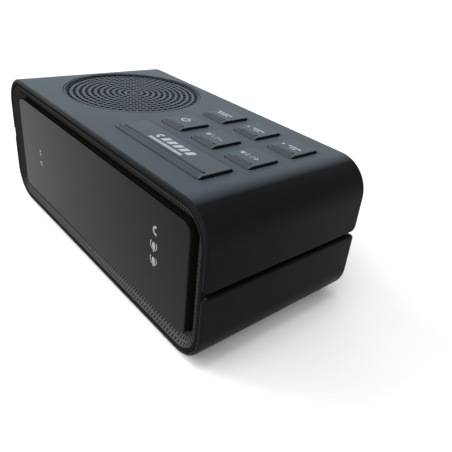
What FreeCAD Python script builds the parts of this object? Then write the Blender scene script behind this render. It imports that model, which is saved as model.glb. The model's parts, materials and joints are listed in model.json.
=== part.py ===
import FreeCAD, Part
import math
import os

V = FreeCAD.Vector

# Digital table clock with a loudspeaker in its top, millimetres.
# X runs along the width, the display faces -Y, Z is up, and the origin is on
# the table under the middle of the case.

# Case
case_width = 130.0
case_depth = 62.8
case_top = 51.0
foot_gap = 0.8
top_radius = 11.4
bottom_radius = 11.2
wall = 2.2
edge_round = 0.8
upper_height = 23.9
groove_height = 1.5
upper_corner = 2.2
lower_corner = 1.2
overrun = 1.0

# Lip of the lower cover behind the groove
lip_gap = 0.15
lip_wall = 1.2
lip_rise = 3.0
lip_root = 4.0

# Front bezel and window
rebate_wall = 1.15
rebate_depth = 2.6
bezel_gap = 0.25
rim_land = 0.9
funnel_depth = 3.5
collar_wall = 1.6
collar_depth = 5.4
window_side_margin = 7.9
window_top_margin = 7.4
window_foot_margin = 6.3
window_radius = 3.0
window_gap = 0.15
window_setback = 0.6
window_round = 0.4
window_flange = 1.4
window_flange_depth = 1.0

# Display behind the window
mask_side_margin = 7.1
mask_foot_margin = 2.9
mask_depth = 4.0
mask_top_gap = 0.3
digit_count = 4
digit_margin = 4.0
digit_width = 11.0
digit_pitch = 17.5
digit_colon_space = 7.0
segment_width = 2.2
segment_gap = 0.35
segment_clearance = 0.1
colon_radius = 1.1
colon_share = 0.21
board_thickness = 1.6
driver_length = 18.0
driver_height = 7.5
driver_thickness = 1.4

# Rear panel
panel_gap = 0.2
panel_thickness = 2.0
panel_recess = 1.6
panel_corner = 0.6
vent_count = 11
vent_pitch = 3.2
vent_width = 1.5
vent_top_margin = 7.0
vent_jack_gap = 2.9
panel_post_inset = 4.4
panel_post_radius = 2.6
panel_post_length = 7.0

# Loudspeaker and its grille
grille_front_margin = 8.15
grille_back_margin = 3.35
grille_side_margin = 11.95
grille_gap = 0.15
grille_thickness = 1.3
grille_sink = 0.15
grille_dish = 0.45
grille_rim = 0.7
grille_skirt = 1.0
grille_flange = 0.6
grille_flange_thickness = 1.2
grille_rings = 11
grille_ring_margin = 0.97
grille_hole = 1.06
gasket_thickness = 0.8
gasket_inset = 0.3
frame_inset = 0.65
frame_land = 3.5
frame_plate = 1.0
frame_ear_width = 5.2
frame_ear_length = 5.2
frame_drop = 11.0
frame_wall = 0.9
frame_foot_inset = 1.0
frame_window_width = 11.0
frame_window_height = 6.0
magnet_radius_share = 0.65
magnet_height_share = 0.38
yoke_inset = 1.6
yoke_height = 1.5
coil_radius_share = 0.43
coil_wall = 0.6
coil_length = 5.0
cone_wall = 0.5
surround_width = 2.9
surround_height = 1.4
dust_cap_rise = 2.2
speaker_post_out = 3.6
speaker_post_radius = 1.7

# Keys in the top
key_columns = 3
keys_grille_gap = 7.05
keys_side_margin = 14.6
keys_front_margin = 8.4
keys_back_margin = 8.3
key_column_gap = 4.85
key_row_gap = 5.0
snooze_row_gap = 3.8
snooze_shift = 1.4
key_gap = 0.4
key_corner = 1.0
key_rise = 0.85
snooze_rise = 0.9
key_slope = 1.1
key_slope_sink = 0.1
key_slope_bulge = 0.14
key_round = 0.2
key_line_width = 0.3
key_line_depth = 0.2
key_line_pitch = 0.65
key_line_left_inset = 2.2
key_line_right_inset = 1.6
key_flange = 0.5
key_flange_gap = 0.35
key_flange_thickness = 0.9
key_stem_width = 3.0
key_stem_wall = 1.1
key_stem_length = 2.1
switch_size = 6.0
switch_height = 3.6
switch_proud = 0.8
switch_grip = 1.5
plunger_radius = 1.6
plunger_fit = 0.05
plunger_well = 2.3

# Board under the keys
key_board_left_reach = 6.2
key_board_right_reach = 2.8
key_board_front_margin = 10.8
key_board_back_margin = 4.2
key_post_inset = 2.0
key_post_radius = 1.5

# Case screws and the towers that they join
tower_inset = 10.2
tower_front_margin = 17.9
tower_back_margin = 8.2
tower_radius = 4.0
tower_top_radius = 2.4
tower_overlap = 0.4
case_screw_radius = 1.3
case_screw_head = 2.5
case_screw_head_height = 1.8
case_screw_seat = 6.0
case_screw_cover = 16.2
screw_fit = 0.05
head_gap = 0.2
driver_slot_width = 0.5
driver_slot_depth = 0.6

# Small screws for boards, speaker and rear panel
small_screw_radius = 0.8
small_screw_head = 1.6
small_screw_head_height = 1.0
small_screw_length = 4.0

# Main board and its posts
main_board_clearance = 1.05
main_board_side_gap = 0.8
main_board_front_margin = 16.4
main_board_back_gap = 1.8
main_post_inset = 6.0
main_post_end_inset = 4.0
main_post_radius = 2.4
plug_inset = 4.0
plug_size = (8.0, 5.0, 4.0)
chip_row_inset = 12.0
clock_chip_x = 12.0
clock_chip_size = (16.0, 9.0, 1.8)
voice_chip_inset = 18.0
voice_chip_size = (12.0, 8.0, 1.8)
crystal_x = -6.0
crystal_size = (8.0, 3.4, 3.2)
back_row_inset = 8.0
amplifier_chip_x = -6.0
amplifier_chip_size = (9.0, 6.0, 1.8)
capacitor_first_x = 13.0
capacitor_radius = 3.2
capacitor_height = 9.0
capacitor_pitch = 8.0
capacitor_count = 3

# Power socket at the rear
jack_post_gap = 8.0
jack_width = 9.0
jack_height = 10.5
jack_length = 11.0
jack_bore = 2.9
jack_bore_depth = 9.0
jack_pin = 1.0
jack_opening = 3.4

# Backup battery under the case
cell_radius = 5.25
cell_length = 43.7
cell_nub_radius = 1.9
cell_nub_length = 0.8
cell_pitch = 11.0
cell_spring_length = 2.7
contact_plate = 0.4
contact_size = 8.0
contact_spring_wide = 3.2
contact_spring_narrow = 1.9
tray_wall = 1.4
tray_gap = 0.35
tray_panel_gap = 0.6
door_inset = 1.0
door_lead = 0.6
door_thickness = 2.6
door_gap = 0.3
door_tongue = 1.6
door_tongue_thickness = 0.8
door_tongue_top = 0.3
door_grip_count = 4
door_grip_pitch = 2.2
door_grip_width = 1.0
door_grip_depth = 0.5
door_grip_share = 0.5
rail_width = 4.0

# Rubber feet
foot_side_margin = 19.0
foot_end_margin = 10.9
foot_radius = 5.0
foot_sink = 1.0
foot_round = 0.5

# Leads
wire_radius = 0.55
wire_spread = 1.6
wire_bend = 2.0
ribbon_width = 14.0
ribbon_thickness = 0.4
ribbon_bend = 2.5
ribbon_drop = 4.0
ribbon_post_gap = 20.0

# Case worked out from the values above
half_width = case_width / 2
front_y = -case_depth / 2
back_y = case_depth / 2
groove_top = case_top - upper_height
groove_bottom = groove_top - groove_height
floor_top = foot_gap + wall
ceiling = case_top - wall
window_half_width = half_width - window_side_margin
window_low = foot_gap + window_foot_margin
window_high = case_top - window_top_margin
panel_back = back_y - panel_recess
panel_front = panel_back - panel_thickness
tower_x = half_width - tower_inset
tower_front_y = front_y + tower_front_margin
tower_back_y = back_y - tower_back_margin
tower_joint = groove_bottom + tower_overlap
foot_x = half_width - foot_side_margin
foot_y = back_y - foot_end_margin

# Battery and main board
cell_last_y = panel_front - tray_panel_gap - tray_wall - tray_gap - cell_radius
cell_first_y = cell_last_y - cell_pitch
tray_half_length = cell_length / 2 + cell_nub_length / 2 + cell_spring_length / 2 + contact_plate
tray_front = cell_first_y - cell_radius - tray_gap
tray_back = cell_last_y + cell_radius + tray_gap
door_half_width = tray_half_length - door_inset
door_front = tray_front - door_lead
door_top = foot_gap + door_thickness
rail_top = door_top + door_gap + overrun
cell_z = door_top + door_gap + cell_radius
tray_ceiling = cell_z + cell_radius + tray_gap
main_board_z = tray_ceiling + tray_wall + main_board_clearance
main_board_top = main_board_z + board_thickness
main_board_half_width = tower_x - tower_radius - main_board_side_gap
main_board_front = front_y + main_board_front_margin
main_board_back = panel_front - main_board_back_gap
main_post_x = main_board_half_width - main_post_inset
main_post_front = main_board_front + main_post_end_inset
main_post_back = main_board_back - main_post_end_inset
plug_y = main_board_front + plug_inset
chip_row_y = main_board_front + chip_row_inset
voice_chip_x = main_board_half_width - voice_chip_inset
back_row_y = main_board_back - back_row_inset
jack_x = jack_post_gap - main_post_x

# Loudspeaker
grille_radius = (case_depth - grille_front_margin - grille_back_margin) / 2
speaker_x = grille_side_margin + grille_radius - half_width
speaker_y = front_y + grille_front_margin + grille_radius
grille_top = case_top - grille_sink
grille_face = grille_top - grille_dish
grille_foot = ceiling - grille_flange_thickness
grille_ring_pitch = (grille_radius - grille_rim - grille_ring_margin) / grille_rings
frame_radius = grille_radius - frame_inset
frame_inner_radius = frame_radius - frame_land
frame_top = grille_foot - gasket_thickness
frame_foot = frame_top - frame_drop
cone_radius = frame_inner_radius - surround_width
magnet_radius = frame_inner_radius * magnet_radius_share
coil_radius = magnet_radius * coil_radius_share
magnet_foot = frame_foot - (frame_foot - main_board_top) * magnet_height_share
yoke_radius = magnet_radius - yoke_inset
frame_foot_radius = magnet_radius - frame_foot_inset
speaker_post_ring = frame_radius + speaker_post_out

# Keys and the board under them
keys_left = speaker_x + grille_radius + keys_grille_gap
keys_right = half_width - keys_side_margin
key_well_width = (keys_right - keys_left - key_column_gap * (key_columns - 1)) / key_columns
key_well_depth = (case_depth - keys_front_margin - keys_back_margin - snooze_row_gap - key_row_gap) / 3
key_pitch_x = key_well_width + key_column_gap
key_pitch_y = key_well_depth + key_row_gap
snooze_y = front_y + keys_front_margin
key_first_y = snooze_y + key_well_depth + snooze_row_gap
flange_top = ceiling - key_flange_gap
flange_foot = flange_top - key_flange_thickness
stem_foot = flange_foot - key_stem_length
switch_top = stem_foot - switch_proud
key_board_top = switch_top - switch_height
key_board_foot = key_board_top - board_thickness
key_board_left = keys_left - key_board_left_reach
key_board_right = keys_right + key_board_right_reach
key_board_front = front_y + key_board_front_margin
key_board_back = back_y - key_board_back_margin

# Display
window_back = front_y + collar_depth + window_flange_depth
mask_back = window_back + mask_depth
display_board_back = mask_back + board_thickness
mask_half_width = window_half_width - mask_side_margin
mask_foot = window_low + mask_foot_margin
mask_high = key_board_foot - small_screw_head_height - mask_top_gap
digit_height = mask_high - mask_foot - digit_margin * 2


# Helpers for plain shapes


def box(x0, x1, y0, y1, z0, z1):
    return Part.makeBox(x1 - x0, y1 - y0, z1 - z0, V(x0, y0, z0))


def post(x, y, z0, z1, radius):
    return Part.makeCylinder(radius, z1 - z0, V(x, y, z0), V(0, 0, 1))


def rod_y(x, z, y0, y1, radius):
    return Part.makeCylinder(radius, y1 - y0, V(x, y0, z), V(0, 1, 0))


def rod_x(y, z, x0, x1, radius):
    return Part.makeCylinder(radius, x1 - x0, V(x0, y, z), V(1, 0, 0))


def turned(points, x, y):
    """Solid turned about the upright axis through x, y from (radius, z) points."""
    corners = [V(x + r, y, z) for r, z in points]
    face = Part.Face(Part.makePolygon(corners + corners[:1]))
    return face.revolve(V(x, y, 0), V(0, 0, 1), 360)


def joined(shapes):
    whole = shapes[0].fuse(shapes[1:]) if len(shapes) > 1 else shapes[0]
    return whole.removeSplitter()


def upright_plate(x0, x1, y0, y1, z0, z1, radius):
    """Plate with its four upright edges rounded."""
    plate = box(x0, x1, y0, y1, z0, z1)
    upright = [e for e in plate.Edges if abs(e.tangentAt(e.FirstParameter).z) > 0.9]
    return plate.makeFillet(radius, upright)


def corner_arc(cx, cz, y, radius, start):
    points = []
    for step in range(3):
        angle = math.radians(start + 45 * step)
        points.append(V(cx + radius * math.cos(angle), y, cz + radius * math.sin(angle)))
    return Part.Arc(*points).toShape()


def front_wire(half, low, high, radius_low, radius_high, y):
    """Rounded rectangle seen from the front, at depth y."""
    right = half - radius_high
    right_low = half - radius_low
    edges = [
        corner_arc(right, high - radius_high, y, radius_high, 0),
        Part.makeLine(V(right, y, high), V(-right, y, high)),
        corner_arc(-right, high - radius_high, y, radius_high, 90),
        Part.makeLine(V(-half, y, high - radius_high), V(-half, y, low + radius_low)),
        corner_arc(-right_low, low + radius_low, y, radius_low, 180),
        Part.makeLine(V(-right_low, y, low), V(right_low, y, low)),
        corner_arc(right_low, low + radius_low, y, radius_low, 270),
        Part.makeLine(V(half, y, low + radius_low), V(half, y, high - radius_high)),
    ]
    return Part.Wire(edges)


def case_wire(inset, y):
    return front_wire(
        half_width - inset,
        foot_gap + inset,
        case_top - inset,
        bottom_radius - inset,
        top_radius - inset,
        y,
    )


def window_wire(grow, y):
    return front_wire(
        window_half_width + grow,
        window_low - grow,
        window_high + grow,
        window_radius + grow,
        window_radius + grow,
        y,
    )


def slab(wire, depth):
    return Part.Face(wire).extrude(V(0, depth, 0))


def case_slab(inset, y0, y1):
    return slab(case_wire(inset, y0), y1 - y0)


def window_slab(grow, y0, y1):
    return slab(window_wire(grow, y0), y1 - y0)


def slotted_head(x, y, z, direction, radius, height):
    """Screw head with a cross slot, its top at x, y, z, facing along direction."""
    axis = V(*direction)
    top = V(x, y, z)
    head = Part.makeCylinder(radius, height, top - axis * height, axis)
    slot = Part.makeBox(radius, driver_slot_width, driver_slot_depth * 2)
    slot.translate(V(-radius / 2, -driver_slot_width / 2, -driver_slot_depth))
    cross = slot.fuse(slot.rotated(V(0, 0, 0), V(0, 0, 1), 90))
    turn = FreeCAD.Rotation(V(0, 0, 1), axis)
    cross.Placement = FreeCAD.Placement(top, turn)
    return head.cut(cross)


def small_screw(x, y, z, direction):
    """Small screw whose head sits on the point x, y, z and whose shank goes the other way."""
    axis = V(*direction)
    seat = V(x, y, z)
    top = seat + axis * small_screw_head_height
    head = slotted_head(top.x, top.y, top.z, direction, small_screw_head, small_screw_head_height)
    shank = Part.makeCylinder(small_screw_radius, small_screw_length, seat, axis * -1)
    return head.fuse(shank).removeSplitter()


# Places that several pieces share


def tower_places():
    return [(side * tower_x, y) for side in (-1, 1) for y in (tower_front_y, tower_back_y)]


def panel_post_places():
    x = half_width - panel_post_inset
    heights = ((floor_top + groove_bottom) / 2, (groove_top + ceiling) / 2)
    return [(side * x, z) for side in (-1, 1) for z in heights]


def main_post_places():
    return [(side * main_post_x, y) for side in (-1, 1) for y in (main_post_front, main_post_back)]


def key_post_places():
    xs = (key_board_left + key_post_inset, key_board_right - key_post_inset)
    ys = (key_board_front + key_post_inset, key_board_back - key_post_inset)
    return [(x, y) for x in xs for y in ys]


def speaker_post_places():
    places = []
    for turn in (45, 135, 225, 315):
        angle = math.radians(turn)
        x = speaker_x + speaker_post_ring * math.cos(angle)
        y = speaker_y + speaker_post_ring * math.sin(angle)
        places.append((x, y))
    return places


key_names = ("power_key", "alarm_one_key", "alarm_two_key", "set_key", "hour_key", "minute_key")


def key_wells():
    """Well of every key as name, left x, front y, width, depth and rise."""
    snooze_length = keys_right - keys_left
    wells = [("snooze_bar", keys_left - snooze_shift, snooze_y, snooze_length, key_well_depth, snooze_rise)]
    for index, name in enumerate(key_names):
        x = keys_left + (index % key_columns) * key_pitch_x
        y = key_first_y + (index // key_columns) * key_pitch_y
        wells.append((name, x, y, key_well_width, key_well_depth, key_rise))
    return wells


def well_middle(well):
    name, x, y, width, depth, rise = well
    return x + width / 2, y + depth / 2


# Case covers


def side_block(low, high, corner, corner_at_top):
    """Case volume between two heights, its front and back corners rounded seen from the side."""
    side = box(-half_width, half_width, front_y, back_y, low, high)
    corner_z = high if corner_at_top else low
    picked = []
    for edge in side.Edges:
        ends = [v.Point for v in edge.Vertexes]
        level = all(abs(p.z - corner_z) < edge_round for p in ends)
        along = abs(ends[0].x - ends[1].x) > half_width
        if level and along:
            picked.append(edge)
    side = side.makeFillet(corner, picked)
    return side.common(case_slab(0, front_y, back_y))


def outer_rim_edges(block, low, high, corner, corner_at_top):
    """Edges round the outside of a cover, where its skin turns into its front, back and groove."""
    inner = case_slab(edge_round / 2, front_y - overrun, back_y + overrun)
    level = high if corner_at_top else low
    picked = []
    for edge in block.Edges:
        middle = edge.valueAt((edge.FirstParameter + edge.LastParameter) / 2)
        at_end = min(abs(middle.y - front_y), abs(middle.y - back_y)) < corner
        at_groove = abs(middle.z - level) < corner
        on_skin = not inner.isInside(middle, edge_round / 10, True)
        flat_end = all(
            min(abs(v.Point.y - front_y), abs(v.Point.y - back_y)) < edge_round / 10 for v in edge.Vertexes
        )
        if on_skin and ((at_end and flat_end) or at_groove):
            picked.append(edge)
    return picked


def rounded_cover_block(low, high, corner, corner_at_top):
    block = side_block(low, high, corner, corner_at_top)
    return block.makeFillet(edge_round, outer_rim_edges(block, low, high, corner, corner_at_top))


def upper_cover():
    block = rounded_cover_block(groove_top, case_top, upper_corner, False)
    shell = block.cut(case_slab(wall, front_y - overrun, back_y + overrun))
    inside = case_slab(wall / 2, front_y + edge_round, back_y - edge_round)
    posts = []
    for x, y in tower_places():
        posts.append(post(x, y, tower_joint, case_top, tower_top_radius))
    for x, y in key_post_places():
        posts.append(post(x, y, key_board_top, case_top, key_post_radius))
    for x, y in speaker_post_places():
        posts.append(post(x, y, frame_top, case_top, speaker_post_radius))
    for x, z in panel_post_places():
        if z > groove_top:
            posts.append(panel_post(x, z))
    shell = joined([shell] + [p.common(inside) for p in posts])
    shell = shell.cut(case_slab(rebate_wall, front_y - overrun, front_y + rebate_depth))
    cuts = [post(speaker_x, speaker_y, ceiling - overrun, case_top + overrun, grille_radius + grille_gap)]
    for name, x, y, width, depth, rise in key_wells():
        radius = key_corner + key_gap
        cuts.append(upright_plate(x, x + width, y, y + depth, ceiling - overrun, case_top + overrun, radius))
    for x, y in tower_places():
        cuts.append(post(x, y, tower_joint - overrun, screw_end() + overrun, case_screw_radius + screw_fit))
    for x, y in key_post_places():
        cuts.append(small_hole(x, y, key_board_top - overrun))
    for x, y in speaker_post_places():
        cuts.append(small_hole(x, y, frame_top - overrun))
    return shell.cut(cuts + [c for x, z, c in panel_holes() if z > groove_top])


def screw_end():
    return case_top - case_screw_cover


def small_hole(x, y, z):
    depth = min(small_screw_length, case_top - wall / 2 - z)
    return post(x, y, z, z + depth, small_screw_radius + screw_fit)


def panel_post(x, z):
    return rod_y(x, z, panel_front - panel_post_length, panel_front, panel_post_radius)


def panel_holes():
    depth = small_screw_length - panel_thickness + overrun
    holes = []
    for x, z in panel_post_places():
        hole = rod_y(x, z, panel_front - depth, panel_front + overrun, small_screw_radius + screw_fit)
        holes.append((x, z, hole))
    return holes


def lip(side):
    """Strip that stands up behind the groove on one side of the lower cover."""
    outer = half_width - wall - lip_gap
    inner = outer - lip_wall
    root = half_width - wall / 2
    low = groove_bottom - lip_root
    corners = [
        V(side * root, 0, low + lip_wall),
        V(side * root, 0, groove_bottom - lip_gap),
        V(side * outer, 0, groove_bottom - lip_gap),
        V(side * outer, 0, groove_top + lip_rise),
        V(side * inner, 0, groove_top + lip_rise),
        V(side * inner, 0, low + lip_wall),
        V(side * (half_width - wall), 0, low),
    ]
    start = front_y + collar_depth + lip_gap
    face = Part.Face(Part.makePolygon(corners + corners[:1]))
    face.translate(V(0, start, 0))
    return face.extrude(V(0, panel_front - lip_gap - start, 0))


def lower_cover():
    block = rounded_cover_block(foot_gap, groove_bottom, lower_corner, True)
    shell = block.cut(case_slab(wall, front_y - overrun, back_y + overrun))
    inside = case_slab(wall / 2, front_y + edge_round, back_y - edge_round)
    added = [post(x, y, foot_gap, tower_joint, tower_radius) for x, y in tower_places()]
    added += [post(x, y, foot_gap, main_board_z, main_post_radius) for x, y in main_post_places()]
    added += [panel_post(x, z) for x, z in panel_post_places() if z < groove_bottom]
    rail_front = tray_front - tray_wall - overrun
    for side in (-1, 1):
        x = sorted((side * (door_half_width + door_gap), side * (door_half_width + door_gap + rail_width)))
        added.append(box(x[0], x[1], rail_front, panel_front - lip_gap, floor_top - wall / 2, rail_top))
    added = [a.common(inside) for a in added] + [lip(-1), lip(1)]
    shell = joined([shell] + added)
    shell = shell.cut(case_slab(rebate_wall, front_y - overrun, front_y + rebate_depth))
    cuts = [c for x, z, c in panel_holes() if z < groove_bottom]
    for x, y in tower_places():
        cuts.append(post(x, y, foot_gap - overrun, foot_gap + case_screw_seat, case_screw_head + head_gap))
        cuts.append(post(x, y, foot_gap, tower_joint + overrun, case_screw_radius + screw_fit))
    for x, y in main_post_places():
        depth = small_screw_length - board_thickness + overrun
        cuts.append(post(x, y, main_board_z - depth, main_board_z + overrun, small_screw_radius + screw_fit))
    for x, y in foot_places():
        cuts.append(post(x, y, foot_gap - overrun, foot_gap + foot_sink, foot_radius + head_gap))
    opening = door_half_width + door_gap
    front = door_front - door_gap
    back = back_y + overrun
    cuts.append(box(-opening, opening, front, back, foot_gap - overrun, rail_top))
    tongue = door_half_width + door_tongue + door_gap
    tongue_high = door_top - door_tongue_top
    tongue_low = tongue_high - door_tongue_thickness
    cuts.append(box(-tongue, tongue, front, back, tongue_low - door_gap, tongue_high + door_gap))
    return shell.cut(cuts)


# Front bezel and window


def front_bezel():
    """Thin rim, funnel that slopes back to the window, and the collar that holds it."""
    outer = rebate_wall + bezel_gap
    rim = case_slab(outer, front_y, front_y + rebate_depth)
    plug = Part.makeLoft(
        [
            case_wire(wall + bezel_gap, front_y + rebate_depth),
            window_wire(window_gap + collar_wall, front_y + collar_depth),
        ],
        True,
        True,
    )
    funnel = Part.makeLoft(
        [
            case_wire(outer + rim_land, front_y),
            window_wire(window_gap, front_y + funnel_depth),
        ],
        True,
        True,
    )
    opening = window_slab(window_gap, front_y, front_y + collar_depth + overrun)
    return rim.fuse(plug).removeSplitter().cut([funnel, opening])


def display_window():
    """Smoked lens: a proud block that fills the bezel, and a flange behind its collar."""
    block = window_slab(0, front_y + window_setback, window_back)
    front = [
        e
        for e in block.Edges
        if all(abs(v.Point.y - front_y - window_setback) < window_round / 10 for v in e.Vertexes)
    ]
    block = block.makeFillet(window_round, front)
    flange = window_slab(window_flange, front_y + collar_depth, window_back)
    return joined([block, flange])


# Display


def digit_centres():
    """X of the digits, in two pairs with the colon between them."""
    centres = []
    for index in range(digit_count):
        step = (index - (digit_count - 1) / 2) * digit_pitch
        push = digit_colon_space / 2 if index >= digit_count / 2 else -digit_colon_space / 2
        centres.append(step + push)
    return centres


def segment_outline(cx, cz, length, upright, grow):
    """Six-sided segment lying along X or Z with pointed ends."""
    half = length / 2 + grow
    side = segment_width / 2 + grow
    points = [
        (-half, 0), (side - half, side), (half - side, side),
        (half, 0), (half - side, -side), (side - half, -side),
    ]
    if upright:
        points = [(b, a) for a, b in points]
    return [V(cx + a, 0, cz + b) for a, b in points]


def segment_places(x, z):
    """The seven segments of one digit as centre, length and direction."""
    wide = digit_width - segment_width
    tall = digit_height / 2 - segment_width / 2
    reach = wide - segment_gap * 2
    climb = tall - segment_gap * 2
    places = [(x, z + step * tall, reach, False) for step in (-1, 0, 1)]
    for side in (-1, 1):
        places += [(x + side * wide / 2, z + up * tall / 2, climb, True) for up in (-1, 1)]
    return places


def display_middle():
    return (mask_foot + mask_high) / 2


def segment_solids(y0, y1, grow):
    """Every segment and both colon dots as solids between two depths."""
    solids = []
    z = display_middle()
    for x in digit_centres():
        for cx, cz, length, upright in segment_places(x, z):
            points = segment_outline(cx, cz, length, upright, grow)
            face = Part.Face(Part.makePolygon(points + points[:1]))
            face.translate(V(0, y0, 0))
            solids.append(face.extrude(V(0, y1 - y0, 0)))
    for side in (-1, 1):
        dot_z = z + side * digit_height * colon_share
        solids.append(rod_y(0, dot_z, y0, y1, colon_radius + grow))
    return solids


def display_mask():
    plate = box(-mask_half_width, mask_half_width, window_back, mask_back, mask_foot, mask_high)
    return plate.cut(segment_solids(window_back - overrun, mask_back + overrun, segment_clearance))


def display_segments():
    return Part.makeCompound(segment_solids(window_back + segment_clearance, mask_back, 0))


def display_board():
    return box(-mask_half_width, mask_half_width, mask_back, display_board_back, mask_foot, mask_high)


def display_driver():
    z = display_middle()
    half = driver_length / 2
    tall = driver_height / 2
    return box(-half, half, display_board_back, display_board_back + driver_thickness, z - tall, z + tall)


# Rear panel


def rear_panel():
    panel = case_slab(wall + panel_gap, panel_front, panel_back)
    back = [e for e in panel.Edges if all(abs(v.Point.y - panel_back) < panel_gap for v in e.Vertexes)]
    panel = panel.makeChamfer(panel_corner, back)
    low = main_board_top + jack_height + vent_jack_gap
    high = case_top - vent_top_margin
    cuts = []
    for index in range(vent_count):
        x = speaker_x + (index - (vent_count - 1) / 2) * vent_pitch
        half = vent_width / 2
        cuts.append(box(x - half, x + half, panel_front - overrun, panel_back + overrun, low, high))
    cuts.append(rod_y(jack_x, jack_z(), panel_front - overrun, panel_back + overrun, jack_opening))
    for x, z in panel_post_places():
        cuts.append(rod_y(x, z, panel_front - overrun, panel_back + overrun, small_screw_radius + screw_fit))
        seat = panel_back - small_screw_head_height
        cuts.append(rod_y(x, z, seat, panel_back + overrun, small_screw_head + head_gap))
    notch = door_half_width + door_tongue + door_gap
    notch_top = door_top + door_gap
    cuts.append(box(-notch, notch, panel_front - overrun, panel_back + overrun, foot_gap, notch_top))
    return panel.cut(cuts)


def rear_screws():
    seat = panel_back - small_screw_head_height
    return Part.makeCompound([small_screw(x, seat, z, (0, 1, 0)) for x, z in panel_post_places()])


# Loudspeaker


def grille_hole_wires(z):
    """Concentric rings of four-sided holes, six more in each ring than in the one inside it."""
    reach = grille_hole / math.sqrt(2)
    wires = []
    for ring in range(grille_rings + 1):
        count = max(1, 6 * ring)
        for index in range(count):
            angle = 2 * math.pi * index / count
            radius = ring * grille_ring_pitch
            points = []
            for corner in range(4):
                turn = angle + math.pi / 2 * corner
                x = speaker_x + radius * math.cos(angle) + reach * math.cos(turn)
                y = speaker_y + radius * math.sin(angle) + reach * math.sin(turn)
                points.append(V(x, y, z))
            wires.append(Part.makePolygon(points + points[:1]))
    return wires


def speaker_grille():
    """Pierced disc set in a turned rim, with a flange that seats under the cover."""
    low = grille_face - grille_thickness
    edge = Part.Wire(Part.makeCircle(grille_radius - grille_rim, V(speaker_x, speaker_y, low)))
    face = Part.makeFace([edge] + grille_hole_wires(low), "Part::FaceMakerBullseye")
    disc = face.extrude(V(0, 0, grille_thickness))
    skirt = grille_radius - grille_skirt
    flange = grille_radius + grille_flange
    rim = turned(
        [
            (skirt, grille_foot),
            (flange, grille_foot),
            (flange, ceiling),
            (grille_radius, ceiling),
            (grille_radius, grille_top),
            (grille_radius - grille_rim, grille_top),
            (grille_radius - grille_rim, low),
            (skirt, low),
        ],
        speaker_x,
        speaker_y,
    )
    whole = rim.fuse(disc).removeSplitter()
    back = panel_front - lip_gap
    reach = flange + overrun
    clear = box(speaker_x - reach, speaker_x + reach, back, back + reach, grille_foot - overrun, ceiling)
    return whole.cut(clear)


def speaker_gasket():
    outer = post(speaker_x, speaker_y, frame_top, grille_foot, frame_radius)
    hollow = frame_inner_radius + gasket_inset
    inner = post(speaker_x, speaker_y, frame_top - overrun, grille_foot + overrun, hollow)
    return outer.cut(inner)


def speaker_frame():
    """Pressed basket with four ears, a conical wall with windows and a foot for the magnet."""
    low = frame_top - frame_plate
    foot = frame_foot + frame_plate
    basket = turned(
        [
            (frame_inner_radius, frame_top),
            (frame_radius, frame_top),
            (frame_radius, low),
            (frame_inner_radius + frame_wall, low),
            (frame_foot_radius + frame_wall, foot),
            (frame_foot_radius + frame_wall, frame_foot),
            (coil_radius + coil_wall + frame_wall, frame_foot),
            (coil_radius + coil_wall + frame_wall, foot),
            (frame_foot_radius, foot),
            (frame_inner_radius, low),
        ],
        speaker_x,
        speaker_y,
    )
    shapes = [basket]
    for turn in (45, 135, 225, 315):
        half = frame_ear_width / 2
        ear = box(frame_radius - half, frame_radius + frame_ear_length, -half, half, low, frame_top)
        ear = ear.rotated(V(0, 0, 0), V(0, 0, 1), turn)
        ear.translate(V(speaker_x, speaker_y, 0))
        shapes.append(ear)
    frame = joined(shapes)
    cuts = []
    middle = (low + foot) / 2
    for turn in (0, 90, 180, 270):
        half = frame_window_width / 2
        tall = frame_window_height / 2
        window = box(frame_foot_radius - frame_wall, frame_radius, -half, half, middle - tall, middle + tall)
        window = window.rotated(V(0, 0, 0), V(0, 0, 1), turn)
        window.translate(V(speaker_x, speaker_y, 0))
        cuts.append(window)
    for x, y in speaker_post_places():
        cuts.append(post(x, y, low - overrun, frame_top + overrun, small_screw_radius + screw_fit))
    return frame.cut(cuts)


def speaker_magnet():
    hollow = coil_radius + coil_wall + frame_wall
    ring = post(speaker_x, speaker_y, magnet_foot, frame_foot, magnet_radius)
    return ring.cut(post(speaker_x, speaker_y, magnet_foot - overrun, frame_foot + overrun, hollow))


def speaker_yoke():
    plate = post(speaker_x, speaker_y, magnet_foot - yoke_height, magnet_foot, yoke_radius)
    pole = post(speaker_x, speaker_y, magnet_foot, frame_foot + frame_plate, coil_radius - coil_wall)
    return joined([plate, pole])


def coil_foot():
    return frame_foot - coil_length / 2


def speaker_voice_coil():
    top = coil_foot() + coil_length
    outer = post(speaker_x, speaker_y, coil_foot(), top, coil_radius + coil_wall)
    return outer.cut(post(speaker_x, speaker_y, coil_foot() - overrun, top + overrun, coil_radius))


def cone_top():
    return frame_top - frame_plate


def speaker_cone():
    low = coil_foot() + coil_length
    return turned(
        [
            (coil_radius, low),
            (coil_radius + coil_wall, low),
            (cone_radius, cone_top() - cone_wall),
            (cone_radius, cone_top()),
            (cone_radius - cone_wall, cone_top()),
            (coil_radius, low + cone_wall),
        ],
        speaker_x,
        speaker_y,
    )


def speaker_surround():
    """Half-round roll between the cone and the frame."""
    z = cone_top()
    inner = cone_radius - cone_wall
    outer = frame_inner_radius
    middle = (inner + outer) / 2
    low = Part.Arc(
        V(inner + cone_wall, 0, z), V(middle, 0, z + surround_height - cone_wall), V(outer - cone_wall, 0, z)
    ).toShape()
    high = Part.Arc(V(outer, 0, z), V(middle, 0, z + surround_height), V(inner, 0, z)).toShape()
    edges = [
        low,
        Part.makeLine(V(outer - cone_wall, 0, z), V(outer, 0, z)),
        high,
        Part.makeLine(V(inner, 0, z), V(inner + cone_wall, 0, z)),
    ]
    ring = Part.Face(Part.Wire(edges)).revolve(V(0, 0, 0), V(0, 0, 1), 360)
    ring.translate(V(speaker_x, speaker_y, 0))
    return ring


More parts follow.
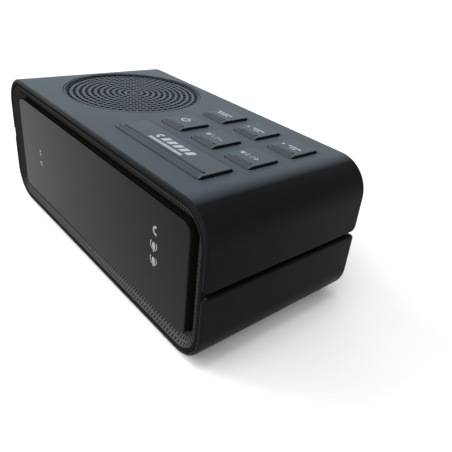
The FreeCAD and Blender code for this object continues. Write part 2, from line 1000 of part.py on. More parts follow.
def speaker_dust_cap():
    """Shallow dome over the voice coil."""
    z = coil_foot() + coil_length + cone_wall
    radius = coil_radius
    sphere = (radius ** 2 + dust_cap_rise ** 2) / (2 * dust_cap_rise)
    lean = math.asin(radius / sphere)
    rise = sphere - sphere * math.cos(lean / 2)
    side = sphere * math.sin(lean / 2)
    top = z + dust_cap_rise
    dome = Part.Arc(V(radius, 0, z), V(side, 0, top - rise), V(0, 0, top)).toShape()
    edges = [
        dome,
        Part.makeLine(V(0, 0, top), V(0, 0, z)),
        Part.makeLine(V(0, 0, z), V(radius, 0, z)),
    ]
    cap = Part.Face(Part.Wire(edges)).revolve(V(0, 0, 0), V(0, 0, 1), 360)
    cap.translate(V(speaker_x, speaker_y, 0))
    return cap


def speaker_screws():
    seat = frame_top - frame_plate
    return Part.makeCompound([small_screw(x, y, seat, (0, 0, -1)) for x, y in speaker_post_places()])


# Keys


def key_cap(well):
    """Cap with a sloped front wall and fine lines, flange under the cover and crossed stem."""
    name, x, y, width, depth, rise = well
    top = case_top + rise
    x0 = x + key_gap
    x1 = x + width - key_gap
    y0 = y + key_gap
    y1 = y + depth - key_gap
    cap = upright_plate(x0, x1, y0, y1, flange_foot, top, key_corner)
    crown = [e for e in cap.Edges if all(abs(v.Point.z - top) < key_round / 10 for v in e.Vertexes)]
    cap = cap.makeFillet(key_round, crown)
    low = V(x0, y0, case_top - key_slope_sink)
    high = V(x0, y0 + key_slope, top)
    outer = V(x0, y0, top)
    middle = (low + high) * 0.5 + (outer - (low + high) * 0.5).normalize() * key_slope_bulge
    slope = [Part.Arc(low, middle, high).toShape(), Part.makeLine(high, outer), Part.makeLine(outer, low)]
    cap = cap.cut(Part.Face(Part.Wire(slope)).extrude(V(x1 - x0, 0, 0)))
    lines = 2 if name == "snooze_bar" else 1
    cuts = []
    for index in range(lines):
        line_y = y0 + key_slope + key_line_pitch * (index + 1)
        left = x0 + key_line_left_inset
        right = x1 - key_line_right_inset
        cuts.append(box(left, right, line_y, line_y + key_line_width, top - key_line_depth, top + overrun))
    cap = cap.cut(cuts)
    flange = box(
        x - key_flange, x + width + key_flange, y - key_flange, y + depth + key_flange,
        flange_foot, flange_top,
    )
    cx, cy = well_middle(well)
    reach = key_stem_width / 2
    thin = key_stem_wall / 2
    stem_x = box(cx - reach, cx + reach, cy - thin, cy + thin, stem_foot, flange_foot)
    stem_y = box(cx - thin, cx + thin, cy - reach, cy + reach, stem_foot, flange_foot)
    return joined([cap, flange, stem_x, stem_y])


def plunger(well):
    cx, cy = well_middle(well)
    return post(cx, cy, switch_top - switch_grip, stem_foot, plunger_radius)


def tact_switches():
    """One housing under each key, with a round well for its plunger."""
    housings = []
    half = switch_size / 2
    for well in key_wells():
        cx, cy = well_middle(well)
        body = box(cx - half, cx + half, cy - half, cy + half, key_board_top, switch_top)
        hole = post(cx, cy, switch_top - plunger_well, switch_top + overrun, plunger_radius + plunger_fit)
        housings.append(body.cut(hole))
    return Part.makeCompound(housings)


def key_board():
    board = box(
        key_board_left, key_board_right, key_board_front, key_board_back,
        key_board_foot, key_board_top,
    )
    low = key_board_foot - overrun
    high = key_board_top + overrun
    cuts = [post(x, y, low, high, tower_top_radius + key_gap) for x, y in tower_places()]
    cuts += [post(x, y, low, high, small_screw_radius + screw_fit) for x, y in key_post_places()]
    return board.cut(cuts)


# Main board


def main_board():
    board = box(
        -main_board_half_width, main_board_half_width, main_board_front, main_board_back,
        main_board_z, main_board_top,
    )
    low = main_board_z - overrun
    high = main_board_top + overrun
    return board.cut([post(x, y, low, high, small_screw_radius + screw_fit) for x, y in main_post_places()])


def board_screws():
    """Screws of the main board, from above, and of the key board, from below."""
    screws = [small_screw(x, y, main_board_top, (0, 0, 1)) for x, y in main_post_places()]
    screws += [small_screw(x, y, key_board_foot, (0, 0, -1)) for x, y in key_post_places()]
    return Part.makeCompound(screws)


def on_board(size, x, y):
    long, wide, tall = size
    return box(x - long / 2, x + long / 2, y - wide / 2, y + wide / 2, main_board_top, main_board_top + tall)


def capacitors():
    cans = []
    for index in range(capacitor_count):
        x = capacitor_first_x + index * capacitor_pitch
        cans.append(post(x, back_row_y, main_board_top, main_board_top + capacitor_height, capacitor_radius))
    return Part.makeCompound(cans)


def jack_z():
    return main_board_top + jack_height / 2


def dc_jack():
    """Moulded socket with a round mouth and a centre pin."""
    half = jack_width / 2
    high = main_board_top + jack_height
    body = box(jack_x - half, jack_x + half, panel_front - jack_length, panel_front, main_board_top, high)
    hole = rod_y(jack_x, jack_z(), panel_front - jack_bore_depth, panel_front + overrun, jack_bore)
    pin_root = panel_front - (jack_length + jack_bore_depth) / 2
    pin = rod_y(jack_x, jack_z(), pin_root, panel_front - overrun, jack_pin)
    return joined([body.cut(hole), pin])


# Screws, battery and feet


def case_screws():
    """Four long screws up from the floor, sunk in their towers."""
    screws = []
    seat = foot_gap + case_screw_seat
    for x, y in tower_places():
        low = seat - case_screw_head_height
        head = slotted_head(x, y, low, (0, 0, -1), case_screw_head, case_screw_head_height)
        shank = post(x, y, seat, screw_end(), case_screw_radius)
        screws.append(head.fuse(shank).removeSplitter())
    return Part.makeCompound(screws)


def cell_rows():
    """Middle y of each cell and the way that its positive end points."""
    return [(cell_first_y, 1), (cell_first_y + cell_pitch, -1)]


def battery_cells():
    cells = []
    for y, way in cell_rows():
        nub_end = way * (tray_half_length - contact_plate)
        shoulder = nub_end - way * cell_nub_length
        low, high = sorted((shoulder, shoulder - way * cell_length))
        body = rod_x(y, cell_z, low, high, cell_radius)
        low, high = sorted((nub_end, shoulder))
        cells.append(joined([body, rod_x(y, cell_z, low, high, cell_nub_radius)]))
    return Part.makeCompound(cells)


def battery_contacts():
    """A flat plate at each positive end, and a plate with a tapered spring at each negative end."""
    pieces = []
    half = contact_size / 2
    for y, way in cell_rows():
        for side in (-1, 1):
            low, high = sorted((side * tray_half_length, side * (tray_half_length - contact_plate)))
            plate = box(low, high, y - half, y + half, cell_z - half, cell_z + half)
            if side == way:
                pieces.append(plate)
                continue
            start = side * (tray_half_length - contact_plate)
            spring = Part.makeCone(
                contact_spring_wide, contact_spring_narrow, cell_spring_length,
                V(start, y, cell_z), V(-side, 0, 0),
            )
            pieces.append(joined([plate, spring]))
    return Part.makeCompound(pieces)


def battery_tray():
    """Open-bottomed box on the floor rails that holds the two cells."""
    end = tray_half_length + tray_wall
    outer = box(
        -end, end, tray_front - tray_wall, tray_back + tray_wall, rail_top, tray_ceiling + tray_wall
    )
    inner = box(-tray_half_length, tray_half_length, tray_front, tray_back, rail_top - overrun, tray_ceiling)
    return outer.cut(inner)


def battery_door():
    """Flush door with a tongue along each side and grip grooves underneath."""
    plate = box(-door_half_width, door_half_width, door_front, back_y, foot_gap, door_top)
    tongue = door_half_width + door_tongue
    high = door_top - door_tongue_top
    tongues = box(-tongue, tongue, door_front, panel_front, high - door_tongue_thickness, high)
    door = joined([plate, tongues])
    low_back = []
    for edge in door.Edges:
        ends = [v.Point for v in edge.Vertexes]
        at_back = all(abs(p.y - back_y) < door_gap for p in ends)
        at_foot = all(abs(p.z - foot_gap) < door_gap for p in ends)
        if at_back and at_foot:
            low_back.append(edge)
    door = door.makeFillet(edge_round, low_back)
    cuts = []
    half = door_half_width * door_grip_share
    for index in range(door_grip_count):
        y = panel_front - index * door_grip_pitch
        cuts.append(box(-half, half, y - door_grip_width, y, foot_gap - overrun, foot_gap + door_grip_depth))
    return door.cut(cuts)


def foot_places():
    return [(side * foot_x, end * foot_y) for side in (-1, 1) for end in (-1, 1)]


def rubber_feet():
    feet = []
    for x, y in foot_places():
        foot = post(x, y, 0, foot_gap + foot_sink, foot_radius)
        rim = [e for e in foot.Edges if all(abs(v.Point.z) < foot_round / 10 for v in e.Vertexes)]
        feet.append(foot.makeFillet(foot_round, [e for e in rim if e.Length > foot_radius * 2]))
    return Part.makeCompound(feet)


# Leads


def lead(points, bend, radius):
    """Round lead through straight stretches joined by quarter turns of one radius."""
    edges = []
    start = points[0]
    for before, corner, after in zip(points, points[1:], points[2:]):
        into = (corner - before).normalize()
        out = (after - corner).normalize()
        first = corner - into * bend
        last = corner + out * bend
        centre = first + out * bend
        middle = centre + (corner - centre).normalize() * bend
        edges.append(Part.makeLine(start, first))
        edges.append(Part.Arc(first, middle, last).toShape())
        start = last
    edges.append(Part.makeLine(start, points[-1]))
    path = Part.Wire(edges)
    along = (points[1] - points[0]).normalize()
    ring = Part.Wire(Part.makeCircle(radius, points[0], along))
    return path.makePipeShell([ring], True, False)


def speaker_wires():
    """Two leads from the basket's lug down to the plug on the main board."""
    leads = []
    plug_top = main_board_top + plug_size[2]
    x = speaker_x + magnet_radius
    for index in range(2):
        y = plug_y + (index - 1 / 2) * wire_spread * 2
        level = plug_top + wire_bend * 3 / 2 + index * wire_spread
        end = (1 / 2 - index) * wire_spread * 2
        points = [V(x, y, basket_foot_at(x, y)), V(x, y, level), V(end, y, level), V(end, y, plug_top)]
        leads.append(lead(points, wire_bend, wire_radius))
    return Part.makeCompound(leads)


def basket_foot_at(x, y):
    """Height just under the basket's conical wall at a place."""
    radius = math.hypot(x - speaker_x, y - speaker_y) + wire_radius
    foot = frame_foot + frame_plate
    low = frame_top - frame_plate
    climb = (low - foot) / (frame_inner_radius - frame_foot_radius)
    return foot + (radius - frame_foot_radius - frame_wall) * climb - wire_radius * 3


def display_ribbon():
    """Flat cable from the display board back and down to the main board."""
    top = mask_high - ribbon_drop
    y0 = display_board_back
    y1 = main_board_front + ribbon_bend * 2
    outer = ribbon_bend + ribbon_thickness / 2
    inner = ribbon_bend - ribbon_thickness / 2
    cy = y1 - ribbon_bend
    cz = top - ribbon_bend
    middle_in = inner / math.sqrt(2)
    middle_out = outer / math.sqrt(2)
    edges = [
        Part.makeLine(V(0, y0, cz + inner), V(0, cy, cz + inner)),
        Part.Arc(V(0, cy, cz + inner), V(0, cy + middle_in, cz + middle_in), V(0, cy + inner, cz)).toShape(),
        Part.makeLine(V(0, cy + inner, cz), V(0, cy + inner, main_board_top)),
        Part.makeLine(V(0, cy + inner, main_board_top), V(0, cy + outer, main_board_top)),
        Part.makeLine(V(0, cy + outer, main_board_top), V(0, cy + outer, cz)),
        Part.Arc(
            V(0, cy + outer, cz), V(0, cy + middle_out, cz + middle_out), V(0, cy, cz + outer)
        ).toShape(),
        Part.makeLine(V(0, cy, cz + outer), V(0, y0, cz + outer)),
        Part.makeLine(V(0, y0, cz + outer), V(0, y0, cz + inner)),
    ]
    strip = Part.Face(Part.Wire(edges)).extrude(V(ribbon_width, 0, 0))
    strip.translate(V(main_post_x - ribbon_post_gap, 0, 0))
    return strip


# Every piece under its name


def pieces():
    shapes = {
        "upper_cover": upper_cover(),
        "lower_cover": lower_cover(),
        "front_bezel": front_bezel(),
        "display_window": display_window(),
        "display_mask": display_mask(),
        "display_segments": display_segments(),
        "display_board": display_board(),
        "display_driver": display_driver(),
        "display_ribbon": display_ribbon(),
        "rear_panel": rear_panel(),
        "rear_screws": rear_screws(),
        "speaker_grille": speaker_grille(),
        "speaker_gasket": speaker_gasket(),
        "speaker_frame": speaker_frame(),
        "speaker_magnet": speaker_magnet(),
        "speaker_yoke": speaker_yoke(),
        "speaker_voice_coil": speaker_voice_coil(),
        "speaker_cone": speaker_cone(),
        "speaker_surround": speaker_surround(),
        "speaker_dust_cap": speaker_dust_cap(),
        "speaker_screws": speaker_screws(),
        "speaker_plug": on_board(plug_size, 0, plug_y),
        "speaker_wires": speaker_wires(),
        "key_board": key_board(),
        "tact_switches": tact_switches(),
        "main_board": main_board(),
        "board_screws": board_screws(),
        "clock_chip": on_board(clock_chip_size, clock_chip_x, chip_row_y),
        "voice_chip": on_board(voice_chip_size, voice_chip_x, chip_row_y),
        "amplifier_chip": on_board(amplifier_chip_size, amplifier_chip_x, back_row_y),
        "clock_crystal": on_board(crystal_size, crystal_x, chip_row_y),
        "capacitors": capacitors(),
        "dc_jack": dc_jack(),
        "case_screws": case_screws(),
        "battery_tray": battery_tray(),
        "battery_cells": battery_cells(),
        "battery_contacts": battery_contacts(),
        "battery_door": battery_door(),
        "rubber_feet": rubber_feet(),
    }
    for well in key_wells():
        shapes[well[0]] = key_cap(well)
        shapes[well[0].replace("_bar", "").replace("_key", "") + "_plunger"] = plunger(well)
    return shapes


os.makedirs("parts", exist_ok=True)
for name, shape in pieces().items():
    shape.exportStep(f"parts/{name}.step")
    print(name, len(shape.Solids), "solids", len(shape.Faces), "faces", "valid", shape.isValid())
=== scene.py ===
"""Looks of a talking table clock: covers, bezel, window, pierced grille, keys and their prints."""

import json
import math

import bmesh
import bpy
from mathutils import Matrix, Vector


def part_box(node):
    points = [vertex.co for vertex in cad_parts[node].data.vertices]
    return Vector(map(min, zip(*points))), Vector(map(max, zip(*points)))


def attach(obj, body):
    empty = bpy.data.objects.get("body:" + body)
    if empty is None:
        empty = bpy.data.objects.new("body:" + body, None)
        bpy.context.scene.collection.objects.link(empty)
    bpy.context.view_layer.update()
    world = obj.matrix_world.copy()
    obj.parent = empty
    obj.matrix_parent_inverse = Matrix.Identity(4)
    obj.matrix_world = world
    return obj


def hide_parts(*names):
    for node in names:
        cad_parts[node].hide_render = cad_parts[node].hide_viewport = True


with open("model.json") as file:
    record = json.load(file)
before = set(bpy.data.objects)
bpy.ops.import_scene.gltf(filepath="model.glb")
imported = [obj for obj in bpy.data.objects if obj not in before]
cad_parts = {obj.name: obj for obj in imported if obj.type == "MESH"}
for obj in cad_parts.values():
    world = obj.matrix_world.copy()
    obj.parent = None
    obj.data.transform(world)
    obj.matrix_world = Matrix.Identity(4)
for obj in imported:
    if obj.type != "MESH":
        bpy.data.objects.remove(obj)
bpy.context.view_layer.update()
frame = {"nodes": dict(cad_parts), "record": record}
nodes = frame["nodes"]

mm = 0.001

# Photograph and camera
photo_side = 452
principal_point = (250, 215)
focal_pixels = 493.7
sensor_width = 36.0
camera_place = Vector((140.4, -95.3, 106.5)) * mm
camera_azimuth = math.radians(44.6)
camera_elevation = math.radians(28.78)
camera_roll = math.radians(7.55)
clip_range = (0.01, 200)

# Case and its front
case_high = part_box("upper_cover")[1]
case_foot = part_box("lower_cover")[0].z
case_half = case_high.x
case_top = case_high.z
case_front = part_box("front_bezel")[0].y
rim_inset = 2.3 * mm
rim_radius_top = 9.1 * mm
rim_radius_foot = 8.9 * mm
funnel_depth = 3.5 * mm
funnel_radius = 3.15 * mm
window_flange = 1.4 * mm
window_gap = 0.15 * mm
upper_height = 23.9 * mm
groove_height = 1.5 * mm
groove_depth = 2.35 * mm
groove_start = 1.7 * mm
groove_end = 1.2 * mm
groove_round = 0.8 * mm
# Painted shade: half thickness of the dark sheet laid in the groove, and the turns of its bend over the
# rounded edge
shade_sheet_half = 0.02 * mm
shade_sheet_turns = (15, 30, 45)
window_low, window_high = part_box("display_window")

# Raised net on the funnel of the bezel
net_rows = 3
net_pitch = 1.45 * mm
slot_along_share = 0.4
slot_across_share = 0.68
net_rise = 0.1 * mm
net_sink = 0.03 * mm
net_start_share = 0.06
net_end_share = 0.92
net_corner_share = 1.2

# Pierced disc of the loudspeaker
grille_flange = 0.6 * mm
grille_rim = 0.7 * mm
grille_rings = 11
grille_ring_margin = 0.97 * mm
grille_hole_across = 1.18 * mm
grille_hole_along = 1.85 * mm
grille_hole_draft = 0.16 * mm
grille_dish = 0.45 * mm
grille_thickness = 1.3 * mm
grille_skirt = 1.0 * mm
grille_edge = 0.08 * mm
# Painted shade: reach of the dark ring round the grille's opening, outwards and inwards
grille_shade_out = 0.72 * mm
grille_shade_in = 0.02 * mm
cell_steps = 4
rim_steps = 144

# Keys
keys = ("snooze_bar", "power_key", "alarm_one_key", "alarm_two_key", "set_key", "hour_key", "minute_key")
key_flange = 0.5 * mm
key_gap = 0.4 * mm
key_corner = 1.0 * mm
corner_steps = 6
well_radius_least = 0.6 * mm
# Painted shade: reach of the dark ring round each key's opening, outwards and inwards, and its lift and
# drop, which the ring round the grille shares
well_shade_out = 0.4 * mm
well_shade_in = 0.2 * mm
shade_ring_lift = 0.01 * mm
shade_ring_drop = 0.25 * mm
key_line_y = 1.9 * mm
snooze_line_y = 2.55 * mm
key_line_right_inset = 1.6 * mm
key_dot_radius = 0.5 * mm
key_rise = 0.85 * mm
key_slope_sink = 0.1 * mm
key_slope = 1.1 * mm
key_slope_bulge = 0.14 * mm
slope_line_shares = (0.28, 0.62, 0.95)
slope_line_width = 0.13 * mm
# Painted shade: width and inset of the dark lines along the snooze bar's back and left edges
edge_shade_width = 0.16 * mm
edge_shade_inset = 0.3 * mm

# Prints
print_thickness = 0.02 * mm
print_sink = 0.012 * mm
arc_step = math.radians(12)
dome_steps = 8
numeral_share = 0.7
weld_distance = 0.001 * mm

# Legends of the keys, from the middle of each key
legend_shifts = {
    "power_key": (-1.1 * mm, 1.0 * mm),
    "alarm_one_key": (-0.64 * mm, 0.0),
    "alarm_two_key": (-0.64 * mm, 0.0),
    "set_key": (-1.0 * mm, 0.0),
    "hour_key": (-0.7 * mm, -0.3 * mm),
    "minute_key": (-0.3 * mm, -0.5 * mm),
    "snooze_bar": (-0.2 * mm, 0.0),
}
power_radius = 1.7 * mm
power_stroke = 0.62 * mm
power_gap_degrees = 38
power_stem_share = 0.95
power_stem_middle_share = 0.72
alarm_height = 1.7 * mm
alarm_bell_x = -3.1 * mm
alarm_bell_size = 2.0 * mm
alarm_numeral_x = -1.0 * mm
alarm_stroke_x = 0.9 * mm
alarm_stroke_width = 0.3 * mm
alarm_stroke_share = 1.1
alarm_stroke_slant = 0.35
sign_x = 2.6 * mm
sign_length = 1.6 * mm
sign_width = 0.36 * mm
sign_stub = 0.6 * mm
sign_stub_y = 0.62 * mm
dash_gap = 0.3 * mm
upper_row_y = 0.7 * mm
lower_row_y = -0.65 * mm
row_height = 0.75 * mm
arrow_low_row_height = 0.6 * mm
arrow_row_shift = 1.2 * mm
arrow_head = ((-4.0 * mm, -0.5 * mm), (-2.6 * mm, -0.5 * mm), (-3.3 * mm, 0.7 * mm))
snooze_row_y = 1.2 * mm
snooze_moon_x = -6.7 * mm
snooze_moon_radii = (1.35 * mm, 0.5 * mm)
snooze_moon_turns = (60, 300)
snooze_stripe_count = 5
snooze_stripe_x = -3.5 * mm
snooze_stripe_pitch = 3.05 * mm
snooze_stripe_size = (2.0 * mm, 2.7 * mm)
snooze_stripe_slant = 0.3
snooze_dash_y = -1.75 * mm
snooze_dash_height = 1.15 * mm
snooze_dash_gap = 0.28 * mm

# Marks at the ends of the window, by x and height
lamp_x = -39.4 * mm
lamp_dot_z = 27.6 * mm
lamp_dot_radius = 0.5 * mm
lamp_square_z = 26.2 * mm
lamp_square_side = 0.9 * mm
lamp_bar_heights = (23.0 * mm, 21.9 * mm)
lamp_bar_size = (1.8 * mm, 0.5 * mm)
moon_place = (41.5 * mm, 34.2 * mm)
moon_radii = (1.5 * mm, 0.8 * mm)
moon_turns = (70, 290)
bell_x = 40.6 * mm
bell_heights = (28.7 * mm, 23.7 * mm)
bell_size = 3.4 * mm

# Spans of one noise and of the sum of two, and scale of a wave texture with a band every metre
noise_span = (0.3, 0.7)
pair_span = (0.7, 1.3)
wave_scale = 0.314

# Finish of the mouldings
plastic_specular = 0.035
flow_size = 22 * mm
worn_radius = 0.35 * mm
# Painted sheen: the side share and the four pale colours below are painted on faces that look up, and the
# last span sets how far up the funnel and the net are painted lighter; edge wear is real wear.
side_painted_sheen = 0.06
edge_wear = 0.3
slate_painted_sheen = (0.046, 0.054, 0.063, 1.0)
key_painted_sheen = (0.052, 0.061, 0.07, 1.0)
net_painted_sheen = (0.062, 0.063, 0.0615, 1.0)
funnel_painted_sheen = (0.016, 0.0162, 0.016, 1.0)
slope_sheen_reach = (0.25, 0.75)

# Floor and lights: each sun has its direction, strength and spread in degrees
floor_half = 60.0
floor_tones = ((0.76, 0.76, 0.76, 1), (0.78, 0.78, 0.78, 1))
suns = {
    "overhead": ((0.0, -0.1, 1.4), 1.25, 25),
    "left_light": ((-0.78, -0.38, 0.5), 2.4, 36),
    "front_light": ((-0.3, -0.75, 0.6), 1.2, 50),
    "right_fill": ((0.6, -0.7, 0.55), 2.0, 60),
}
back_box_place = (-1.92, 1.84, 1.08)
back_box_target = (0, 0, 0.05)
back_box_size = (3.8, 1.68)
back_box_watts = 34
back_box_colour = (0.72, 0.86, 1.0)
world_strength = 0.3


# Materials


class Graph:
    """Nodes of one material, with a short call for each kind that is used here."""

    def __init__(self, name):
        self.material = bpy.data.materials.new(name)
        self.material.use_nodes = True
        self.tree = self.material.node_tree
        self.shader = self.tree.nodes["Principled BSDF"]
        self.place = self.node("ShaderNodeTexCoord").outputs["Object"]

    def node(self, kind):
        return self.tree.nodes.new(kind)

    def feed(self, value, socket):
        """Links an output to a socket, or sets the socket's own value."""
        if isinstance(value, bpy.types.NodeSocket):
            self.tree.links.new(value, socket)
        else:
            socket.default_value = value

    def stretched(self, scale):
        mapping = self.node("ShaderNodeMapping")
        self.feed(self.place, mapping.inputs["Vector"])
        mapping.inputs["Scale"].default_value = scale
        return mapping.outputs["Vector"]

    def noise(self, size, detail=2.0, roughness=0.5, vector=None):
        """Noise whose blotches are about size metres across."""
        noise = self.node("ShaderNodeTexNoise")
        self.feed(vector or self.place, noise.inputs["Vector"])
        noise.inputs["Scale"].default_value = 1 / size
        noise.inputs["Detail"].default_value = detail
        noise.inputs["Roughness"].default_value = roughness
        return noise.outputs["Fac"]

    def cells(self, size, feature="F1", vector=None):
        cells = self.node("ShaderNodeTexVoronoi")
        cells.feature = feature
        self.feed(vector or self.place, cells.inputs["Vector"])
        cells.inputs["Scale"].default_value = 1 / size
        return cells.outputs["Distance"]

    def bands(self, size, direction, distortion=0.0):
        wave = self.node("ShaderNodeTexWave")
        wave.bands_direction = direction
        self.feed(self.place, wave.inputs["Vector"])
        wave.inputs["Scale"].default_value = wave_scale / size
        wave.inputs["Distortion"].default_value = distortion
        return wave.outputs["Fac"]

    def remap(self, value, low, high, to_low, to_high):
        remap = self.node("ShaderNodeMapRange")
        self.feed(value, remap.inputs["Value"])
        for name, number in zip(("From Min", "From Max", "To Min", "To Max"), (low, high, to_low, to_high)):
            remap.inputs[name].default_value = number
        return remap.outputs["Result"]

    def spread(self, value, to_low, to_high, span=noise_span):
        """Remap from the span in which most of a noise lies."""
        return self.remap(value, *span, to_low, to_high)

    def combine(self, a, b, operation="ADD"):
        """Sum of two numbers, or what another operation makes of them."""
        math_node = self.node("ShaderNodeMath")
        math_node.operation = operation
        self.feed(a, math_node.inputs[0])
        self.feed(b, math_node.inputs[1])
        return math_node.outputs["Value"]

    def mix(self, share, first, second):
        """Colour that goes from first to second as share goes from 0 to 1."""
        mix = self.node("ShaderNodeMix")
        mix.data_type = "RGBA"
        self.feed(share, mix.inputs["Factor"])
        self.feed(first, mix.inputs["A"])
        self.feed(second, mix.inputs["B"])
        return mix.outputs["Result"]

    def edges(self, radius, low, high):
        """1 along edges that are sharper than radius, 0 elsewhere."""
        bevel = self.node("ShaderNodeBevel")
        bevel.samples = 6
        bevel.inputs["Radius"].default_value = radius
        flat = self.node("ShaderNodeNewGeometry").outputs["Normal"]
        alike = self.node("ShaderNodeVectorMath")
        alike.operation = "DOT_PRODUCT"
        self.feed(bevel.outputs["Normal"], alike.inputs[0])
        self.feed(flat, alike.inputs[1])
        return self.remap(alike.outputs["Value"], high, low, 0.0, 1.0)

    def facing_up(self, low, high):
        """0 where the upward part of the surface normal is under low, 1 where it is over high."""
        split = self.node("ShaderNodeSeparateXYZ")
        self.feed(self.node("ShaderNodeNewGeometry").outputs["Normal"], split.inputs[0])
        return self.remap(split.outputs["Z"], low, high, 0.0, 1.0)

    def colour(self, value):
        self.feed(value, self.shader.inputs["Base Color"])

    def roughness(self, value):
        self.feed(value, self.shader.inputs["Roughness"])

    def bump(self, height, distance, strength=1.0):
        bump = self.node("ShaderNodeBump")
        bump.inputs["Strength"].default_value = strength
        bump.inputs["Distance"].default_value = distance
        self.feed(height, bump.inputs["Height"])
        self.feed(bump.outputs["Normal"], self.shader.inputs["Normal"])

    def set(self, **values):
        for name, value in values.items():
            self.shader.inputs[name.replace("_", " ")].default_value = value


def shade(colour, factor):
    return tuple(channel * factor for channel in colour) + (1.0,)


def moulded_plastic(
    name, colour, roughness, grain=0.3 * mm, depth=0.02 * mm,
    sheen_reach=(0.9, 0.995), painted_sheen=slate_painted_sheen, side=side_painted_sheen, specular=plastic_specular,
):
    """Spark-textured moulding: fine grain, flow mottling, worn edges, and a painted sheen: a pale colour
    painted on faces that look up, in place of the lamps' reflection.
    """
    g = Graph(name)
    fine = g.noise(grain, 3.0, 0.6)
    broad = g.noise(flow_size, 3.0)
    mottle = g.mix(g.remap(broad, 0.35, 0.65, 0, 1), shade(colour, 0.9), shade(colour, 1.1))
    speckle = g.mix(g.spread(fine, 0, 0.35), mottle, shade(colour, 0.6))
    worn = g.combine(g.edges(worn_radius, 0.9, 0.99), edge_wear, "MULTIPLY")
    # Painted sheen: a share of the pale colour is painted on faces that tilt up, lighting the bends, and the
    # whole colour on faces that look up; the broad noise thins it.
    rising_sheen = g.combine(g.facing_up(0.0, 0.8), side, "MULTIPLY")
    level = g.combine(g.facing_up(*sheen_reach), rising_sheen, "MAXIMUM")
    cover = g.combine(level, g.spread(broad, 0.85, 1.0), "MULTIPLY")
    g.colour(g.mix(cover, g.mix(worn, speckle, shade(colour, 2.2)), painted_sheen))
    g.roughness(g.spread(g.combine(fine, broad), roughness - 0.06, roughness + 0.06, pair_span))
    g.bump(fine, depth, 0.6)
    g.set(Specular_IOR_Level=specular)
    return g.material


def case_plastic():
    return moulded_plastic("case_plastic", (0.0044, 0.0048, 0.0052), 0.4)


def key_plastic():
    # Painted sheen on the tops and on the sloped fronts of the keys, which makes the fronts as bright as the
    # tops.
    return moulded_plastic(
        "key_plastic", (0.007, 0.0075, 0.008), 0.38, 0.22 * mm, 0.015 * mm,
        sheen_reach=(0.15, 0.6), painted_sheen=key_painted_sheen, side=0.0,
    )


def grille_plastic():
    return moulded_plastic("grille_plastic", (0.007, 0.0075, 0.008), 0.4, 0.22 * mm, 0.015 * mm)


def bezel_plastic():
    # Painted shade and light: the funnel's upward-facing lower slope gets a pale painted sheen, while its
    # top and sides keep the dark base colour.
    return moulded_plastic(
        "bezel_plastic", (0.007, 0.0073, 0.0076), 0.42, 0.18 * mm, 0.01 * mm,
        sheen_reach=slope_sheen_reach, painted_sheen=funnel_painted_sheen, side=0.0, specular=0.0,
    )


def net_painted_highlight():
    # Painted highlight: the net is moulded in the bezel's own plastic, but it gets a paler base colour and a
    # grey painted sheen on its upward slopes, so its pads look lit.
    return moulded_plastic(
        "net_plastic_painted_light", (0.02, 0.0202, 0.0202), 0.36, 0.15 * mm, 0.008 * mm,
        sheen_reach=slope_sheen_reach, painted_sheen=net_painted_sheen, side=0.0, specular=0.0,
    )


def black_plastic():
    return moulded_plastic("black_plastic", (0.008, 0.008, 0.0085), 0.45, 0.25 * mm, 0.015 * mm)


def smoked_lens():
    """Polished smoked acrylic with the faint haze of wiping."""
    g = Graph("smoked_lens")
    haze = g.noise(9 * mm, 4.0, 0.65, g.stretched((1.0, 1.0, 2.2)))
    dust = g.remap(g.noise(0.25 * mm, 2.0), 0.72, 0.78, 0, 0.25)
    clean = g.mix(haze, (0.0046, 0.0046, 0.0040, 1), (0.0058, 0.0058, 0.0051, 1))
    g.colour(g.mix(dust, clean, (0.04, 0.04, 0.04, 1)))
    g.roughness(g.spread(haze, 0.09, 0.17))
    g.bump(g.noise(30 * mm, 1.0), 0.03 * mm, 0.2)
    g.set(Specular_IOR_Level=0.04)
    return g.material


def segment_diffuser():
    g = Graph("segment_diffuser")
    grain = g.noise(0.4 * mm)
    g.colour(g.mix(grain, (0.16, 0.155, 0.14, 1), (0.22, 0.21, 0.19, 1)))
    g.roughness(g.spread(grain, 0.3, 0.4))
    g.set(Subsurface_Weight=0.2, Subsurface_Scale=0.5 * mm)
    return g.material


def print_ink(name, colour):
    """Pad-printed ink: slightly uneven cover, a little worn."""
    g = Graph(name)
    cover = g.noise(0.35 * mm, 3.0, 0.7)
    g.colour(g.mix(g.remap(cover, 0.35, 0.75, 0, 1), shade(colour, 1.0), shade(colour, 0.72)))
    g.roughness(g.spread(cover, 0.5, 0.65))
    g.bump(cover, 0.004 * mm, 0.4)
    g.set(Specular_IOR_Level=0.02)
    return g.material


def board_laminate():
    """Green solder mask over copper tracks on glass laminate."""
    g = Graph("board_laminate")
    tracks = g.remap(g.cells(3.2 * mm, "DISTANCE_TO_EDGE", g.stretched((1.0, 1.0, 0.2))), 0.05, 0.09, 1, 0)
    weave = g.noise(0.5 * mm, 2.0, 0.5, g.stretched((1.0, 0.25, 1.0)))
    base = g.mix(weave, (0.012, 0.075, 0.028, 1), (0.016, 0.1, 0.038, 1))
    g.colour(g.mix(tracks, base, (0.03, 0.19, 0.07, 1)))
    g.roughness(g.spread(weave, 0.25, 0.4))
    g.bump(tracks, 0.03 * mm, 0.5)
    return g.material


def chip_epoxy():
    g = Graph("chip_epoxy")
    grain = g.noise(0.15 * mm, 3.0)
    g.colour(g.mix(grain, (0.008, 0.008, 0.009, 1), (0.02, 0.02, 0.022, 1)))
    g.roughness(g.spread(grain, 0.5, 0.7))
    g.bump(grain, 0.01 * mm, 0.5)
    return g.material


